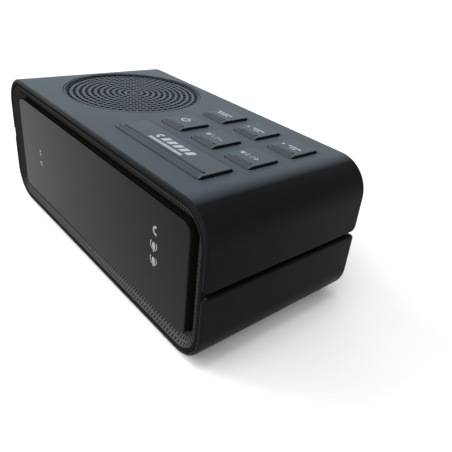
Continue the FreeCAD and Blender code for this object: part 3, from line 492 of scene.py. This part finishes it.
def soft_rubber(name, colour, roughness):
    g = Graph(name)
    pores = g.cells(0.5 * mm)
    tone = g.noise(4 * mm, 3.0)
    g.colour(g.mix(tone, shade(colour, 0.8), shade(colour, 1.25)))
    g.roughness(g.spread(tone, roughness - 0.08, roughness + 0.05))
    g.bump(g.combine(pores, tone), 0.04 * mm, 0.4)
    g.set(Specular_IOR_Level=0.35)
    return g.material


def metal(name, colour, roughness, direction=(1.0, 12.0, 1.0)):
    """Metal with fine drawn lines and a mottled plating."""
    g = Graph(name)
    lines = g.noise(0.35 * mm, 3.0, 0.6, g.stretched(direction))
    stain = g.noise(3 * mm, 3.0)
    g.colour(g.mix(stain, shade(colour, 0.82), shade(colour, 1.12)))
    g.roughness(g.spread(g.combine(lines, stain), roughness - 0.08, roughness + 0.12, pair_span))
    g.bump(lines, 0.006 * mm, 0.5)
    g.set(Metallic=1.0)
    return g.material


def ferrite():
    g = Graph("ferrite")
    grain = g.noise(0.3 * mm, 4.0, 0.7)
    chips = g.remap(g.cells(1.6 * mm), 0.0, 0.12, 1, 0)
    g.colour(g.mix(grain, (0.018, 0.018, 0.02, 1), (0.045, 0.045, 0.05, 1)))
    g.roughness(g.spread(grain, 0.45, 0.65))
    g.bump(g.combine(grain, chips), 0.05 * mm, 0.5)
    return g.material


def coil_copper():
    g = Graph("coil_copper")
    turns = g.bands(0.12 * mm, "Z")
    g.colour(g.mix(turns, (0.22, 0.06, 0.015, 1), (0.62, 0.24, 0.08, 1)))
    g.roughness(g.remap(turns, 0, 1, 0.28, 0.42))
    g.bump(turns, 0.04 * mm, 0.8)
    g.set(Metallic=1.0)
    return g.material


def cone_paper():
    """Pressed black paper with visible fibres."""
    g = Graph("cone_paper")
    fibre = g.noise(0.5 * mm, 5.0, 0.7, g.stretched((1.0, 3.0, 1.0)))
    g.colour(g.mix(fibre, (0.006, 0.006, 0.0065, 1), (0.02, 0.02, 0.021, 1)))
    g.roughness(g.spread(fibre, 0.75, 0.9))
    g.bump(fibre, 0.08 * mm, 0.6)
    return g.material


def nylon():
    g = Graph("connector_plastic")
    tone = g.noise(2 * mm, 3.0)
    g.colour(g.mix(tone, (0.5, 0.47, 0.38, 1), (0.62, 0.59, 0.5, 1)))
    g.roughness(g.spread(tone, 0.38, 0.5))
    g.bump(g.noise(0.2 * mm), 0.01 * mm, 0.4)
    g.set(Subsurface_Weight=0.1, Subsurface_Scale=0.5 * mm)
    return g.material


def capacitor_sleeve():
    """Shrunk sleeve with a pale stripe down one side and a metal-grey top."""
    g = Graph("capacitor_sleeve")
    wrinkle = g.noise(0.8 * mm, 3.0)
    stripe = g.remap(g.bands(8 * mm, "X"), 0.86, 0.9, 0, 1)
    g.colour(g.mix(stripe, (0.008, 0.01, 0.045, 1), (0.35, 0.36, 0.4, 1)))
    g.roughness(g.spread(wrinkle, 0.25, 0.4))
    g.bump(wrinkle, 0.03 * mm, 0.4)
    return g.material


def cell_jacket():
    """Shrink-wrapped cell: dark body with a copper-toned end."""
    g = Graph("cell_jacket")
    wrinkle = g.noise(1.2 * mm, 2.0)
    band = g.remap(g.bands(60 * mm, "X"), 0.7, 0.72, 0, 1)
    g.colour(g.mix(band, (0.02, 0.021, 0.024, 1), (0.3, 0.13, 0.05, 1)))
    g.roughness(g.spread(wrinkle, 0.22, 0.35))
    g.bump(wrinkle, 0.02 * mm, 0.3)
    return g.material


def cable_jacket():
    return soft_rubber("cable_jacket", (0.012, 0.012, 0.013), 0.45)


finishes = {
    "case_plastic": case_plastic(),
    "bezel_plastic": bezel_plastic(),
    "smoked_lens": smoked_lens(),
    "black_plastic": black_plastic(),
    "segment_diffuser": segment_diffuser(),
    "board_laminate": board_laminate(),
    "chip_epoxy": chip_epoxy(),
    "cable_jacket": cable_jacket(),
    "screw_steel": metal("screw_steel", (0.09, 0.09, 0.095), 0.34),
    "grille_plastic": grille_plastic(),
    "foam_rubber": soft_rubber("foam_rubber", (0.012, 0.012, 0.012), 0.85),
    "pressed_steel": metal("pressed_steel", (0.55, 0.56, 0.58), 0.3),
    "ferrite": ferrite(),
    "coil_copper": coil_copper(),
    "cone_paper": cone_paper(),
    "connector_plastic": nylon(),
    "capacitor_can": capacitor_sleeve(),
    "cell_jacket": cell_jacket(),
    "contact_steel": metal("contact_steel", (0.66, 0.66, 0.64), 0.22),
    "foot_rubber": soft_rubber("foot_rubber", (0.01, 0.01, 0.0105), 0.7),
    "key_plastic": key_plastic(),
    "plunger_plastic": moulded_plastic("plunger_plastic", (0.01, 0.01, 0.011), 0.35),
}
ink = print_ink("print_ink", (0.33, 0.36, 0.38))
net_plastic_painted_light = net_painted_highlight()
# Near-black ink for the dots and lines on the keys, and for the painted shade laid in the groove and round
# the openings
shade_and_mark_ink = print_ink("shade_and_mark_ink", (0.004, 0.0045, 0.0055))
window_ink = print_ink("window_ink", (0.26, 0.265, 0.26))

for part in frame["record"]["subparts"]:
    mesh = nodes[part["node"]].data
    mesh.materials.clear()
    mesh.materials.append(finishes[part["material_slot"]])


# Meshes


def add_piece(name, points, faces, material, body):
    mesh = bpy.data.meshes.new(name)
    mesh.from_pydata(points, [], faces)
    mesh.validate()
    mesh.update()
    mesh.materials.append(material)
    piece = bpy.data.objects.new(name, mesh)
    bpy.context.scene.collection.objects.link(piece)
    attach(piece, body)
    return piece


def weld(piece):
    """Joins points that lie together and turns the faces outwards."""
    net = bmesh.new()
    net.from_mesh(piece.data)
    bmesh.ops.remove_doubles(net, verts=net.verts, dist=weld_distance)
    bmesh.ops.recalc_face_normals(net, faces=net.faces)
    net.to_mesh(piece.data)
    net.free()


def corner(cx, cz, radius, start, steps):
    """Quarter turn as equal steps, seen from the front."""
    turns = [math.radians(start + 90 * i / steps) for i in range(steps + 1)]
    return [Vector((cx + radius * math.cos(t), cz + radius * math.sin(t))) for t in turns]


def straight(start, end, steps):
    return [start.lerp(end, i / steps) for i in range(1, steps)]


def rounded_outline(half, low, high, radius_low, radius_high, counts):
    """Closed outline of a rounded rectangle with a set number of steps on each stretch."""
    across, up, turn = counts
    top_right = corner(half - radius_high, high - radius_high, radius_high, 0, turn)
    top_left = corner(radius_high - half, high - radius_high, radius_high, 90, turn)
    low_left = corner(radius_low - half, low + radius_low, radius_low, 180, turn)
    low_right = corner(half - radius_low, low + radius_low, radius_low, 270, turn)
    return (
        top_right
        + straight(top_right[-1], top_left[0], across)
        + top_left
        + straight(top_left[-1], low_left[0], up)
        + low_left
        + straight(low_left[-1], low_right[0], across)
        + low_right
        + straight(low_right[-1], top_right[0], up)
    )


def bezel_net():
    """Raised net with rows of small slots that follows the sloped funnel round the window."""
    across = round((2 * case_half - 2 * rim_radius_top) / net_pitch)
    up = round((case_top - case_foot - 2 * rim_radius_top) / net_pitch)
    turn = round(rim_radius_top * net_corner_share / net_pitch)
    counts = (across, up, turn)
    outer = rounded_outline(
        case_half - rim_inset, case_foot + rim_inset, case_top - rim_inset,
        rim_radius_foot, rim_radius_top, counts,
    )
    inner = rounded_outline(
        window_high.x - window_flange + window_gap,
        window_low.z + window_flange - window_gap,
        window_high.z - window_flange + window_gap,
        funnel_radius, funnel_radius, counts,
    )

    def facing(index):
        """Outward direction of the slope at a whole step."""
        index %= len(outer)
        before = outer[index - 1]
        after = outer[(index + 1) % len(outer)]
        near = outer[index]
        far = inner[index]
        along = Vector((after.x - before.x, 0, after.y - before.y))
        out = along.cross(Vector((far.x - near.x, funnel_depth, far.y - near.y))).normalized()
        return -out if out.y > 0 else out

    def on_slope(step, share, lift):
        whole = math.floor(step)
        part = step - whole
        here = whole % len(outer)
        following = (whole + 1) % len(outer)
        near = outer[here].lerp(outer[following], part)
        far = inner[here].lerp(inner[following], part)
        spot = near.lerp(far, share)
        out = facing(here).lerp(facing(following), part)
        return Vector((spot.x, case_front + funnel_depth * share, spot.y)) + out * lift

    def cell_corners(step, row, along, across_share, lift):
        row_height = (net_end_share - net_start_share) / net_rows
        middle = net_start_share + row_height * (row + 0.5)
        half = row_height * across_share / 2
        return [
            on_slope(step + 0.5 + side * along / 2, middle + deep * half, lift)
            for side, deep in ((-1, -1), (1, -1), (1, 1), (-1, 1))
        ]

    points = []
    faces = []
    for step in range(len(outer)):
        for row in range(net_rows):
            first = len(points)
            points += cell_corners(step, row, 1.0, 1.0, net_rise)
            points += cell_corners(step, row, slot_along_share, slot_across_share, net_rise)
            points += cell_corners(step, row, slot_along_share, slot_across_share, -net_sink)
            points += cell_corners(step, row, 1.0, 1.0, -net_sink)
            for level in (0, 4, 8):
                for i in range(4):
                    j = (i + 1) % 4
                    a = first + level
                    faces.append((a + i, a + j, a + 4 + j, a + 4 + i))
            if row == 0:
                faces.append((first, first + 12, first + 13, first + 1))
            if row == net_rows - 1:
                faces.append((first + 2, first + 14, first + 15, first + 3))
    weld(add_piece("bezel_net", points, faces, net_plastic_painted_light, "root"))


def pierced_grille():
    """Disc whose rings of four-sided holes stand in cells, six more in each ring, inside a rim."""
    low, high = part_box("speaker_grille")
    flange = (high.x - low.x) / 2
    centre = Vector(((low.x + high.x) / 2, low.y + flange))
    rim_out = flange - grille_flange
    rim_in = rim_out - grille_rim
    pitch = (rim_in - grille_ring_margin) / grille_rings
    face = high.z - grille_dish
    points = []
    faces = []

    def polar(radius, turn, z):
        return Vector((centre.x + radius * math.cos(turn), centre.y + radius * math.sin(turn), z))

    def arc(radius, start, end, z):
        turns = [start + (end - start) * i / cell_steps for i in range(cell_steps + 1)]
        return [polar(radius, turn, z) for turn in turns]

    def add_face(corners):
        faces.append(tuple(range(len(points), len(points) + len(corners))))
        points.extend(corners)

    def add_cell(inner, outer, middle, turn, half_turn):
        """Top, underside and walls of one cell."""
        mouths = []
        for z, draft in ((face, 0), (face - grille_thickness, grille_hole_draft)):
            half = grille_hole_across / 2 - draft
            side = (grille_hole_along / 2 - draft) / middle
            mouth = [
                polar(middle - half, turn - side, z),
                polar(middle + half, turn - side, z),
                polar(middle + half, turn + side, z),
                polar(middle - half, turn + side, z),
            ]
            inside = arc(inner, turn - half_turn, turn + half_turn, z)
            outside = arc(outer, turn - half_turn, turn + half_turn, z)
            add_face(inside[::-1] + [mouth[0], mouth[3]])
            add_face(outside + [mouth[2], mouth[1]])
            add_face([inside[0], outside[0], mouth[1], mouth[0]])
            add_face([outside[-1], inside[-1], mouth[3], mouth[2]])
            mouths.append(mouth)
        for i in range(4):
            j = (i + 1) % 4
            add_face([mouths[0][i], mouths[0][j], mouths[1][j], mouths[1][i]])

    for ring in range(1, grille_rings + 1):
        count = 6 * ring
        outer = min((ring + 0.5) * pitch, rim_in)
        for index in range(count):
            turn = 2 * math.pi * index / count
            add_cell((ring - 0.5) * pitch, outer, ring * pitch, turn, math.pi / count)
    half = grille_hole_across / 2
    for index in range(4):
        turn = math.pi / 2 * index
        edge = arc(pitch / 2, turn - math.pi / 4, turn + math.pi / 4, face)
        add_face(edge + [polar(half, turn + math.pi / 4, face), polar(half, turn - math.pi / 4, face)])
    profile = [
        (rim_in, face - grille_thickness),
        (rim_in, high.z - grille_edge),
        (rim_in + grille_edge, high.z),
        (rim_out - grille_edge, high.z),
        (rim_out, high.z - grille_edge),
        (rim_out, low.z),
        (rim_out - grille_skirt, low.z),
        (rim_out - grille_skirt, face - grille_thickness),
    ]
    for step in range(rim_steps):
        start = 2 * math.pi * step / rim_steps
        end = 2 * math.pi * (step + 1) / rim_steps
        for (r1, z1), (r2, z2) in zip(profile, profile[1:] + profile[:1]):
            add_face([polar(r1, start, z1), polar(r1, end, z1), polar(r2, end, z2), polar(r2, start, z2)])
    disc_piece = add_piece(
        "pierced_grille", points, faces, finishes["grille_plastic"], "root"
    )
    weld(disc_piece)
    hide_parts("speaker_grille")


def key_outline(key, grow, z):
    """Outline of the opening round a key, grown outwards, at one height."""
    low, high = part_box(key)
    grown = grow - key_flange
    radius = max(key_corner + key_gap - abs(grow), well_radius_least)
    middle = (low.x + high.x) / 2
    flat = rounded_outline(
        (high.x - low.x) / 2 + grown, low.y - grown, high.y + grown, radius, radius, (1, 1, corner_steps)
    )
    return [Vector((middle + p.x, p.y, z)) for p in flat]


def add_shade_ring(name, outside, inside):
    """Closed dark ring of painted shade between an outline on the cover and a lower outline inside the
    opening.
    """
    count = len(outside)
    deep = [Vector((p.x, p.y, q.z)) for p, q in zip(outside, inside)]
    rows = (0, count, 2 * count)
    faces = []
    for i in range(count):
        j = (i + 1) % count
        faces += [(a + i, a + j, b + j, b + i) for a, b in zip(rows, rows[1:] + rows[:1])]
    weld(add_piece(name, outside + inside + deep, faces, shade_and_mark_ink, "root"))


def groove_shade_sheets():
    """Painted shade: a thin dark sheet laid in the groove on each side, over its back, its floor and half of
    the rounded edge below, where the groove lies in shade.
    """
    front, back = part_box("lower_cover")
    ends = (front.y + groove_start, back.y - groove_end)
    floor_z = case_top - upper_height - groove_height
    profile = [
        ((-groove_depth, groove_height), (1, 0)),
        ((-groove_depth, 0), (1, 1)),
        ((-groove_round, 0), (0, 1)),
    ]
    for turn in shade_sheet_turns:
        out = (math.sin(math.radians(turn)), math.cos(math.radians(turn)))
        profile.append(((groove_round * (out[0] - 1), groove_round * (out[1] - 1)), out))
    count = len(profile)
    for name, side in (("groove_shade_left", -1), ("groove_shade_right", 1)):
        points = []
        for y in ends:
            for lift in (shade_sheet_half, -shade_sheet_half):
                for (across, up), (out_x, out_z) in profile:
                    x = side * (case_half + across + out_x * lift)
                    points.append(Vector((x, y, floor_z + up + out_z * lift)))
        faces = [(0, 2 * count, 3 * count, count), (count - 1, 3 * count - 1, 4 * count - 1, 2 * count - 1)]
        for i in range(count - 1):
            for a, b in ((0, 2), (1, 3), (0, 1), (2, 3)):
                faces.append((a * count + i, a * count + i + 1, b * count + i + 1, b * count + i))
        weld(add_piece(name, points, faces, shade_and_mark_ink, "root"))


def well_shade_rings():
    """Painted shade: a dark ring on the rounded edge of the opening round each key, a narrow funnel just
    inside the cover, where the gap round the key lies in shade.
    """
    for key in keys:
        outside = key_outline(key, well_shade_out, case_top + shade_ring_lift)
        inside = key_outline(key, -well_shade_in, case_top - shade_ring_drop)
        add_shade_ring(key + "_well_shade", outside, inside)


def grille_shade_ring():
    """Painted shade: a dark ring on the edge of the round opening that holds the grille, where the gap round
    it lies in shade.
    """
    low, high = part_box("speaker_grille")
    middle = (low + high) / 2
    rim = (high.x - low.x) / 2 - grille_flange

    def circle(radius, z):
        turns = [2 * math.pi * i / rim_steps for i in range(rim_steps)]
        return [Vector((middle.x + radius * math.cos(t), middle.y + radius * math.sin(t), z)) for t in turns]

    add_shade_ring(
        "grille_shade_ring",
        circle(rim + grille_shade_out, case_top + shade_ring_lift),
        circle(rim + grille_shade_in, case_top - shade_ring_drop),
    )


# Flat shapes for prints, each a list of polygons in two dimensions


def bar(x, y, width, height, slant=0.0):
    lean = slant * height / 2
    return [
        [
            (x - width / 2 - lean, y - height / 2),
            (x + width / 2 - lean, y - height / 2),
            (x + width / 2 + lean, y + height / 2),
            (x - width / 2 + lean, y + height / 2),
        ]
    ]


def ring(x, y, outside, inside, start, end):
    """Part of a ring between two angles in degrees, as a chain of four-sided polygons."""
    low = math.radians(start)
    high = math.radians(end)
    count = math.ceil((high - low) / arc_step)
    turns = [low + (high - low) * i / count for i in range(count + 1)]
    quads = []
    for a, b in zip(turns, turns[1:]):
        spots = ((inside, a), (outside, a), (outside, b), (inside, b))
        quads.append([(x + radius * math.cos(turn), y + radius * math.sin(turn)) for radius, turn in spots])
    return quads


def disc(x, y, radius):
    count = math.ceil(2 * math.pi / arc_step)
    turns = [2 * math.pi * i / count for i in range(count)]
    return [[(x + radius * math.cos(t), y + radius * math.sin(t)) for t in turns]]


def bell(x, y, size):
    """Alarm bell with an arc at each side. Its measures are shares of half its size."""
    half = size / 2
    shoulder_half = half * 0.45
    shoulder_y = y + half * 0.3
    skirt_half = half * 0.5
    skirt_y = y - half * 0.35
    dome = []
    for i in range(dome_steps + 1):
        turn = math.pi * i / dome_steps
        dome.append((x + shoulder_half * math.cos(turn), shoulder_y + half * 0.55 * math.sin(turn)))
    skirt = [
        (x - shoulder_half, shoulder_y),
        (x - skirt_half, skirt_y),
        (x + skirt_half, skirt_y),
        (x + shoulder_half, shoulder_y),
    ]
    brim = bar(x, y - half * 0.52, half * 1.5, half * 0.2)
    marks = []
    for middle in (0, 180):
        marks += ring(x, shoulder_y, half * 1.05, half * 0.85, middle - 38, middle + 38)
    return [dome, skirt] + brim + marks + disc(x, y - half * 0.85, half * 0.2)


def numeral(digit, x, y, height):
    """Plain numeral as the polygons of the built-in font."""
    curve = bpy.data.curves.new("numeral", "FONT")
    curve.body = digit
    curve.size = height / numeral_share
    curve.align_x = "CENTER"
    source = bpy.data.objects.new("numeral", curve)
    bpy.context.scene.collection.objects.link(source)
    bpy.context.view_layer.update()
    mesh = bpy.data.meshes.new_from_object(source)
    shapes = []
    for polygon in mesh.polygons:
        corners = [mesh.vertices[i].co for i in polygon.vertices]
        shapes.append([(x + c.x, y - height / 2 + c.y) for c in corners])
    bpy.data.objects.remove(source)
    bpy.data.curves.remove(curve)
    bpy.data.meshes.remove(mesh)
    return shapes


def add_print(name, shapes, to_space, out, material, body):
    """Thin layer of ink over polygons, laid on a face whose outward direction is out."""
    points = []
    faces = []
    for shape in shapes:
        first = len(points)
        count = len(shape)
        points += [to_space(a, b) - out * print_sink for a, b in shape]
        points += [to_space(a, b) + out * (print_thickness - print_sink) for a, b in shape]
        faces.append(tuple(range(first + count, first + 2 * count)))
        faces.append(tuple(reversed(range(first, first + count))))
        for i in range(count):
            j = (i + 1) % count
            faces.append((first + i, first + j, first + count + j, first + count + i))
    add_piece(name, points, faces, material, body)


def power_legend():
    """Broken ring with a short stem through its gap."""
    start = 90 + power_gap_degrees
    end = 450 - power_gap_degrees
    arc = ring(0, 0, power_radius, power_radius - power_stroke, start, end)
    stem_y = power_radius * power_stem_middle_share
    return arc + bar(0, stem_y, power_stroke, power_radius * power_stem_share)


def alarm_legend(digit, louder):
    """Bell, numeral and slanted stroke, with a plus sign if louder and a minus sign if not."""
    shapes = bell(alarm_bell_x, 0, alarm_bell_size) + numeral(digit, alarm_numeral_x, 0, alarm_height)
    shapes += bar(sign_x, 0, sign_length, sign_width)
    if louder:
        for side in (1, -1):
            shapes += bar(sign_x, side * sign_stub_y, sign_width, sign_stub)
    stroke_height = alarm_height * alarm_stroke_share
    return shapes + bar(alarm_stroke_x, 0, alarm_stroke_width, stroke_height, alarm_stroke_slant)


def dashes(y, height, lengths, gap=dash_gap):
    """Row of short bars, centred. The lengths are in millimetres."""
    lengths = [length * mm for length in lengths]
    x = -(sum(lengths) + gap * (len(lengths) - 1)) / 2
    shapes = []
    for length in lengths:
        shapes += bar(x + length / 2, y, length, height)
        x += length + gap
    return shapes


def set_legend():
    """Two rows of bars."""
    upper = dashes(upper_row_y, row_height, (1.6, 1.2, 2.0, 1.5))
    return upper + dashes(lower_row_y, row_height, (1.3, 1.9, 1.4))


def arrow_legend(up):
    """Two rows of bars with a small arrow head, for stepping on or back."""
    side = 1 if up else -1
    head = [[(x, y * side) for x, y in arrow_head]]
    rows = dashes(upper_row_y, row_height, (1.2, 1.9, 1.4))
    rows += dashes(lower_row_y, arrow_low_row_height, (0.9, 1.2))
    return head + [[(x + arrow_row_shift, y) for x, y in shape] for shape in rows]


def snooze_legend():
    """Crescent and slanted bars over a row of fine dashes."""
    shapes = ring(snooze_moon_x, snooze_row_y, *snooze_moon_radii, *snooze_moon_turns)
    for i in range(snooze_stripe_count):
        x = snooze_stripe_x + i * snooze_stripe_pitch
        shapes += bar(x, snooze_row_y, *snooze_stripe_size, snooze_stripe_slant)
    lengths = (1.0, 0.8, 1.3, 0.9) * 3 + (1.1,)
    return shapes + dashes(snooze_dash_y, snooze_dash_height, lengths, snooze_dash_gap)


def add_key_print(name, key, shapes, shift=(0.0, 0.0), material=ink):
    """Print on the flat top of a key, shifted from its middle."""
    low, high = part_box(key)
    centre_x = (low.x + high.x) / 2 + shift[0]
    centre_y = (low.y + high.y) / 2 + shift[1]

    def on_top(a, b):
        return Vector((centre_x + a, centre_y + b, high.z))

    add_print(name, shapes, on_top, Vector((0, 0, 1)), material, key)


def key_marks():
    """Small dark dot at the right end of the last groove of each key, and the snooze bar's edge line:
    painted shade along the back and left edges of its top.
    """
    for key in keys:
        low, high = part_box(key)
        inset = key_flange + key_gap
        middle = (low + high) / 2
        x = high.x - inset - key_line_right_inset - middle.x
        line_y = snooze_line_y if key == "snooze_bar" else key_line_y
        y = low.y + inset + line_y - middle.y
        shapes = disc(x, y, key_dot_radius)
        # Painted shade: dark lines along the back and left edges of the snooze bar's top, where the gap
        # round it lies in shade.
        if key == "snooze_bar":
            half_x = (high.x - low.x) / 2 - inset - edge_shade_inset
            half_y = (high.y - low.y) / 2 - inset - edge_shade_inset
            shapes += bar(0, half_y, 2 * half_x, edge_shade_width)
            shapes += bar(-half_x, half_y / 2, edge_shade_width, half_y)
        add_key_print(key + "_mark", key, shapes, material=shade_and_mark_ink)


def slope_marks():
    """Fine dark lines along the sloped front of each key."""
    for key in keys:
        low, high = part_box(key)
        inset = key_flange + key_gap
        foot = Vector(((low.x + high.x) / 2, low.y + inset, high.z - key_rise - key_slope_sink))
        run = Vector((0, key_slope, key_rise + key_slope_sink))
        out = Vector((0, -run.z, run.y)).normalized()
        width = high.x - low.x - 2 * inset - 2 * key_corner
        shapes = []
        for share in slope_line_shares:
            shapes += bar(0, share * run.length, width, slope_line_width)

        def on_slope(a, b):
            share = b / run.length
            return foot + Vector((a, 0, 0)) + run * share + out * key_slope_bulge * 4 * share * (1 - share)

        add_print(key + "_slope_mark", shapes, on_slope, out, shade_and_mark_ink, key)


def key_prints():
    legends = {
        "power_key": power_legend(),
        "alarm_one_key": alarm_legend("1", False),
        "alarm_two_key": alarm_legend("2", True),
        "set_key": set_legend(),
        "hour_key": arrow_legend(True),
        "minute_key": arrow_legend(False),
        "snooze_bar": snooze_legend(),
    }
    for key, shapes in legends.items():
        name = key.removesuffix("_key").removesuffix("_bar") + "_print"
        add_key_print(name, key, shapes, legend_shifts[key])


def window_prints():
    """Small marks at both ends of the window for the lamps behind it."""
    face = window_low.y
    square = bar(lamp_x, lamp_square_z, lamp_square_side, lamp_square_side)
    marks = {
        "window_dot_high": disc(lamp_x, lamp_dot_z, lamp_dot_radius) + square,
        "window_dot_low": [shape for z in lamp_bar_heights for shape in bar(lamp_x, z, *lamp_bar_size)],
        "window_moon": ring(*moon_place, *moon_radii, *moon_turns),
        "window_bell_one": bell(bell_x, bell_heights[0], bell_size),
        "window_bell_two": bell(bell_x, bell_heights[1], bell_size),
    }

    def on_face(a, b):
        return Vector((a, face, b))

    for name, shapes in marks.items():
        add_print(name, shapes, on_face, Vector((0, -1, 0)), window_ink, "root")


pierced_grille()
bezel_net()
groove_shade_sheets()
well_shade_rings()
grille_shade_ring()
key_marks()
slope_marks()
key_prints()
window_prints()


# Stage, light and camera


def floor():
    mesh = bpy.data.meshes.new("floor")
    corners = [(x * floor_half, y * floor_half, 0) for x, y in ((-1, -1), (1, -1), (1, 1), (-1, 1))]
    mesh.from_pydata(corners, [], [(0, 1, 2, 3)])
    g = Graph("pale_floor")
    g.colour(g.mix(g.noise(0.6), *floor_tones))
    g.roughness(0.9)
    g.set(Specular_IOR_Level=0.1)
    mesh.materials.append(g.material)
    sheet = bpy.data.objects.new("floor", mesh)
    bpy.context.scene.collection.objects.link(sheet)


def aim(thing, place, target):
    thing.location = place
    thing.rotation_mode = "QUATERNION"
    thing.rotation_quaternion = (Vector(place) - Vector(target)).to_track_quat("Z", "Y")


def add_light(name, kind, place, target, power):
    light = bpy.data.lights.new(name, kind)
    light.energy = power
    lamp = bpy.data.objects.new(name, light)
    bpy.context.scene.collection.objects.link(lamp)
    aim(lamp, place, target)
    return light


def lights():
    """Four wide suns from above the front, and a large cool soft box behind the clock."""
    for name, (place, strength, spread) in suns.items():
        add_light(name, "SUN", place, (0, 0, 0), strength).angle = math.radians(spread)
    box = add_light("back_box", "AREA", back_box_place, back_box_target, back_box_watts)
    box.shape = "RECTANGLE"
    box.size, box.size_y = back_box_size
    box.color = back_box_colour


def room():
    world = bpy.data.worlds.new("room")
    world.use_nodes = True
    background = world.node_tree.nodes["Background"]
    background.inputs["Color"].default_value = (1.0, 1.0, 1.0, 1.0)
    background.inputs["Strength"].default_value = world_strength
    bpy.context.scene.world = world


def camera():
    """Camera at the photograph's place, with its roll and its off-centre frame."""
    azimuth, elevation, roll = camera_azimuth, camera_elevation, camera_roll
    back = Vector(
        (
            math.sin(azimuth) * math.cos(elevation),
            -math.cos(azimuth) * math.cos(elevation),
            math.sin(elevation),
        )
    )
    level = Vector((math.cos(azimuth), math.sin(azimuth), 0))
    upright = back.cross(level)
    right = math.cos(roll) * level + math.sin(roll) * upright
    up = math.cos(roll) * upright - math.sin(roll) * level
    data = bpy.data.cameras.new("camera")
    data.sensor_width = sensor_width
    data.lens = focal_pixels / photo_side * sensor_width
    data.shift_x = (photo_side / 2 - principal_point[0]) / photo_side
    data.shift_y = (principal_point[1] - photo_side / 2) / photo_side
    data.clip_start, data.clip_end = clip_range
    eye = bpy.data.objects.new("camera", data)
    turn = Matrix((right, up, back)).transposed().to_4x4()
    eye.matrix_world = Matrix.Translation(camera_place) @ turn
    bpy.context.scene.collection.objects.link(eye)
    bpy.context.scene.camera = eye


floor()
room()
lights()
camera()
bpy.context.scene.view_settings.view_transform = "Standard"
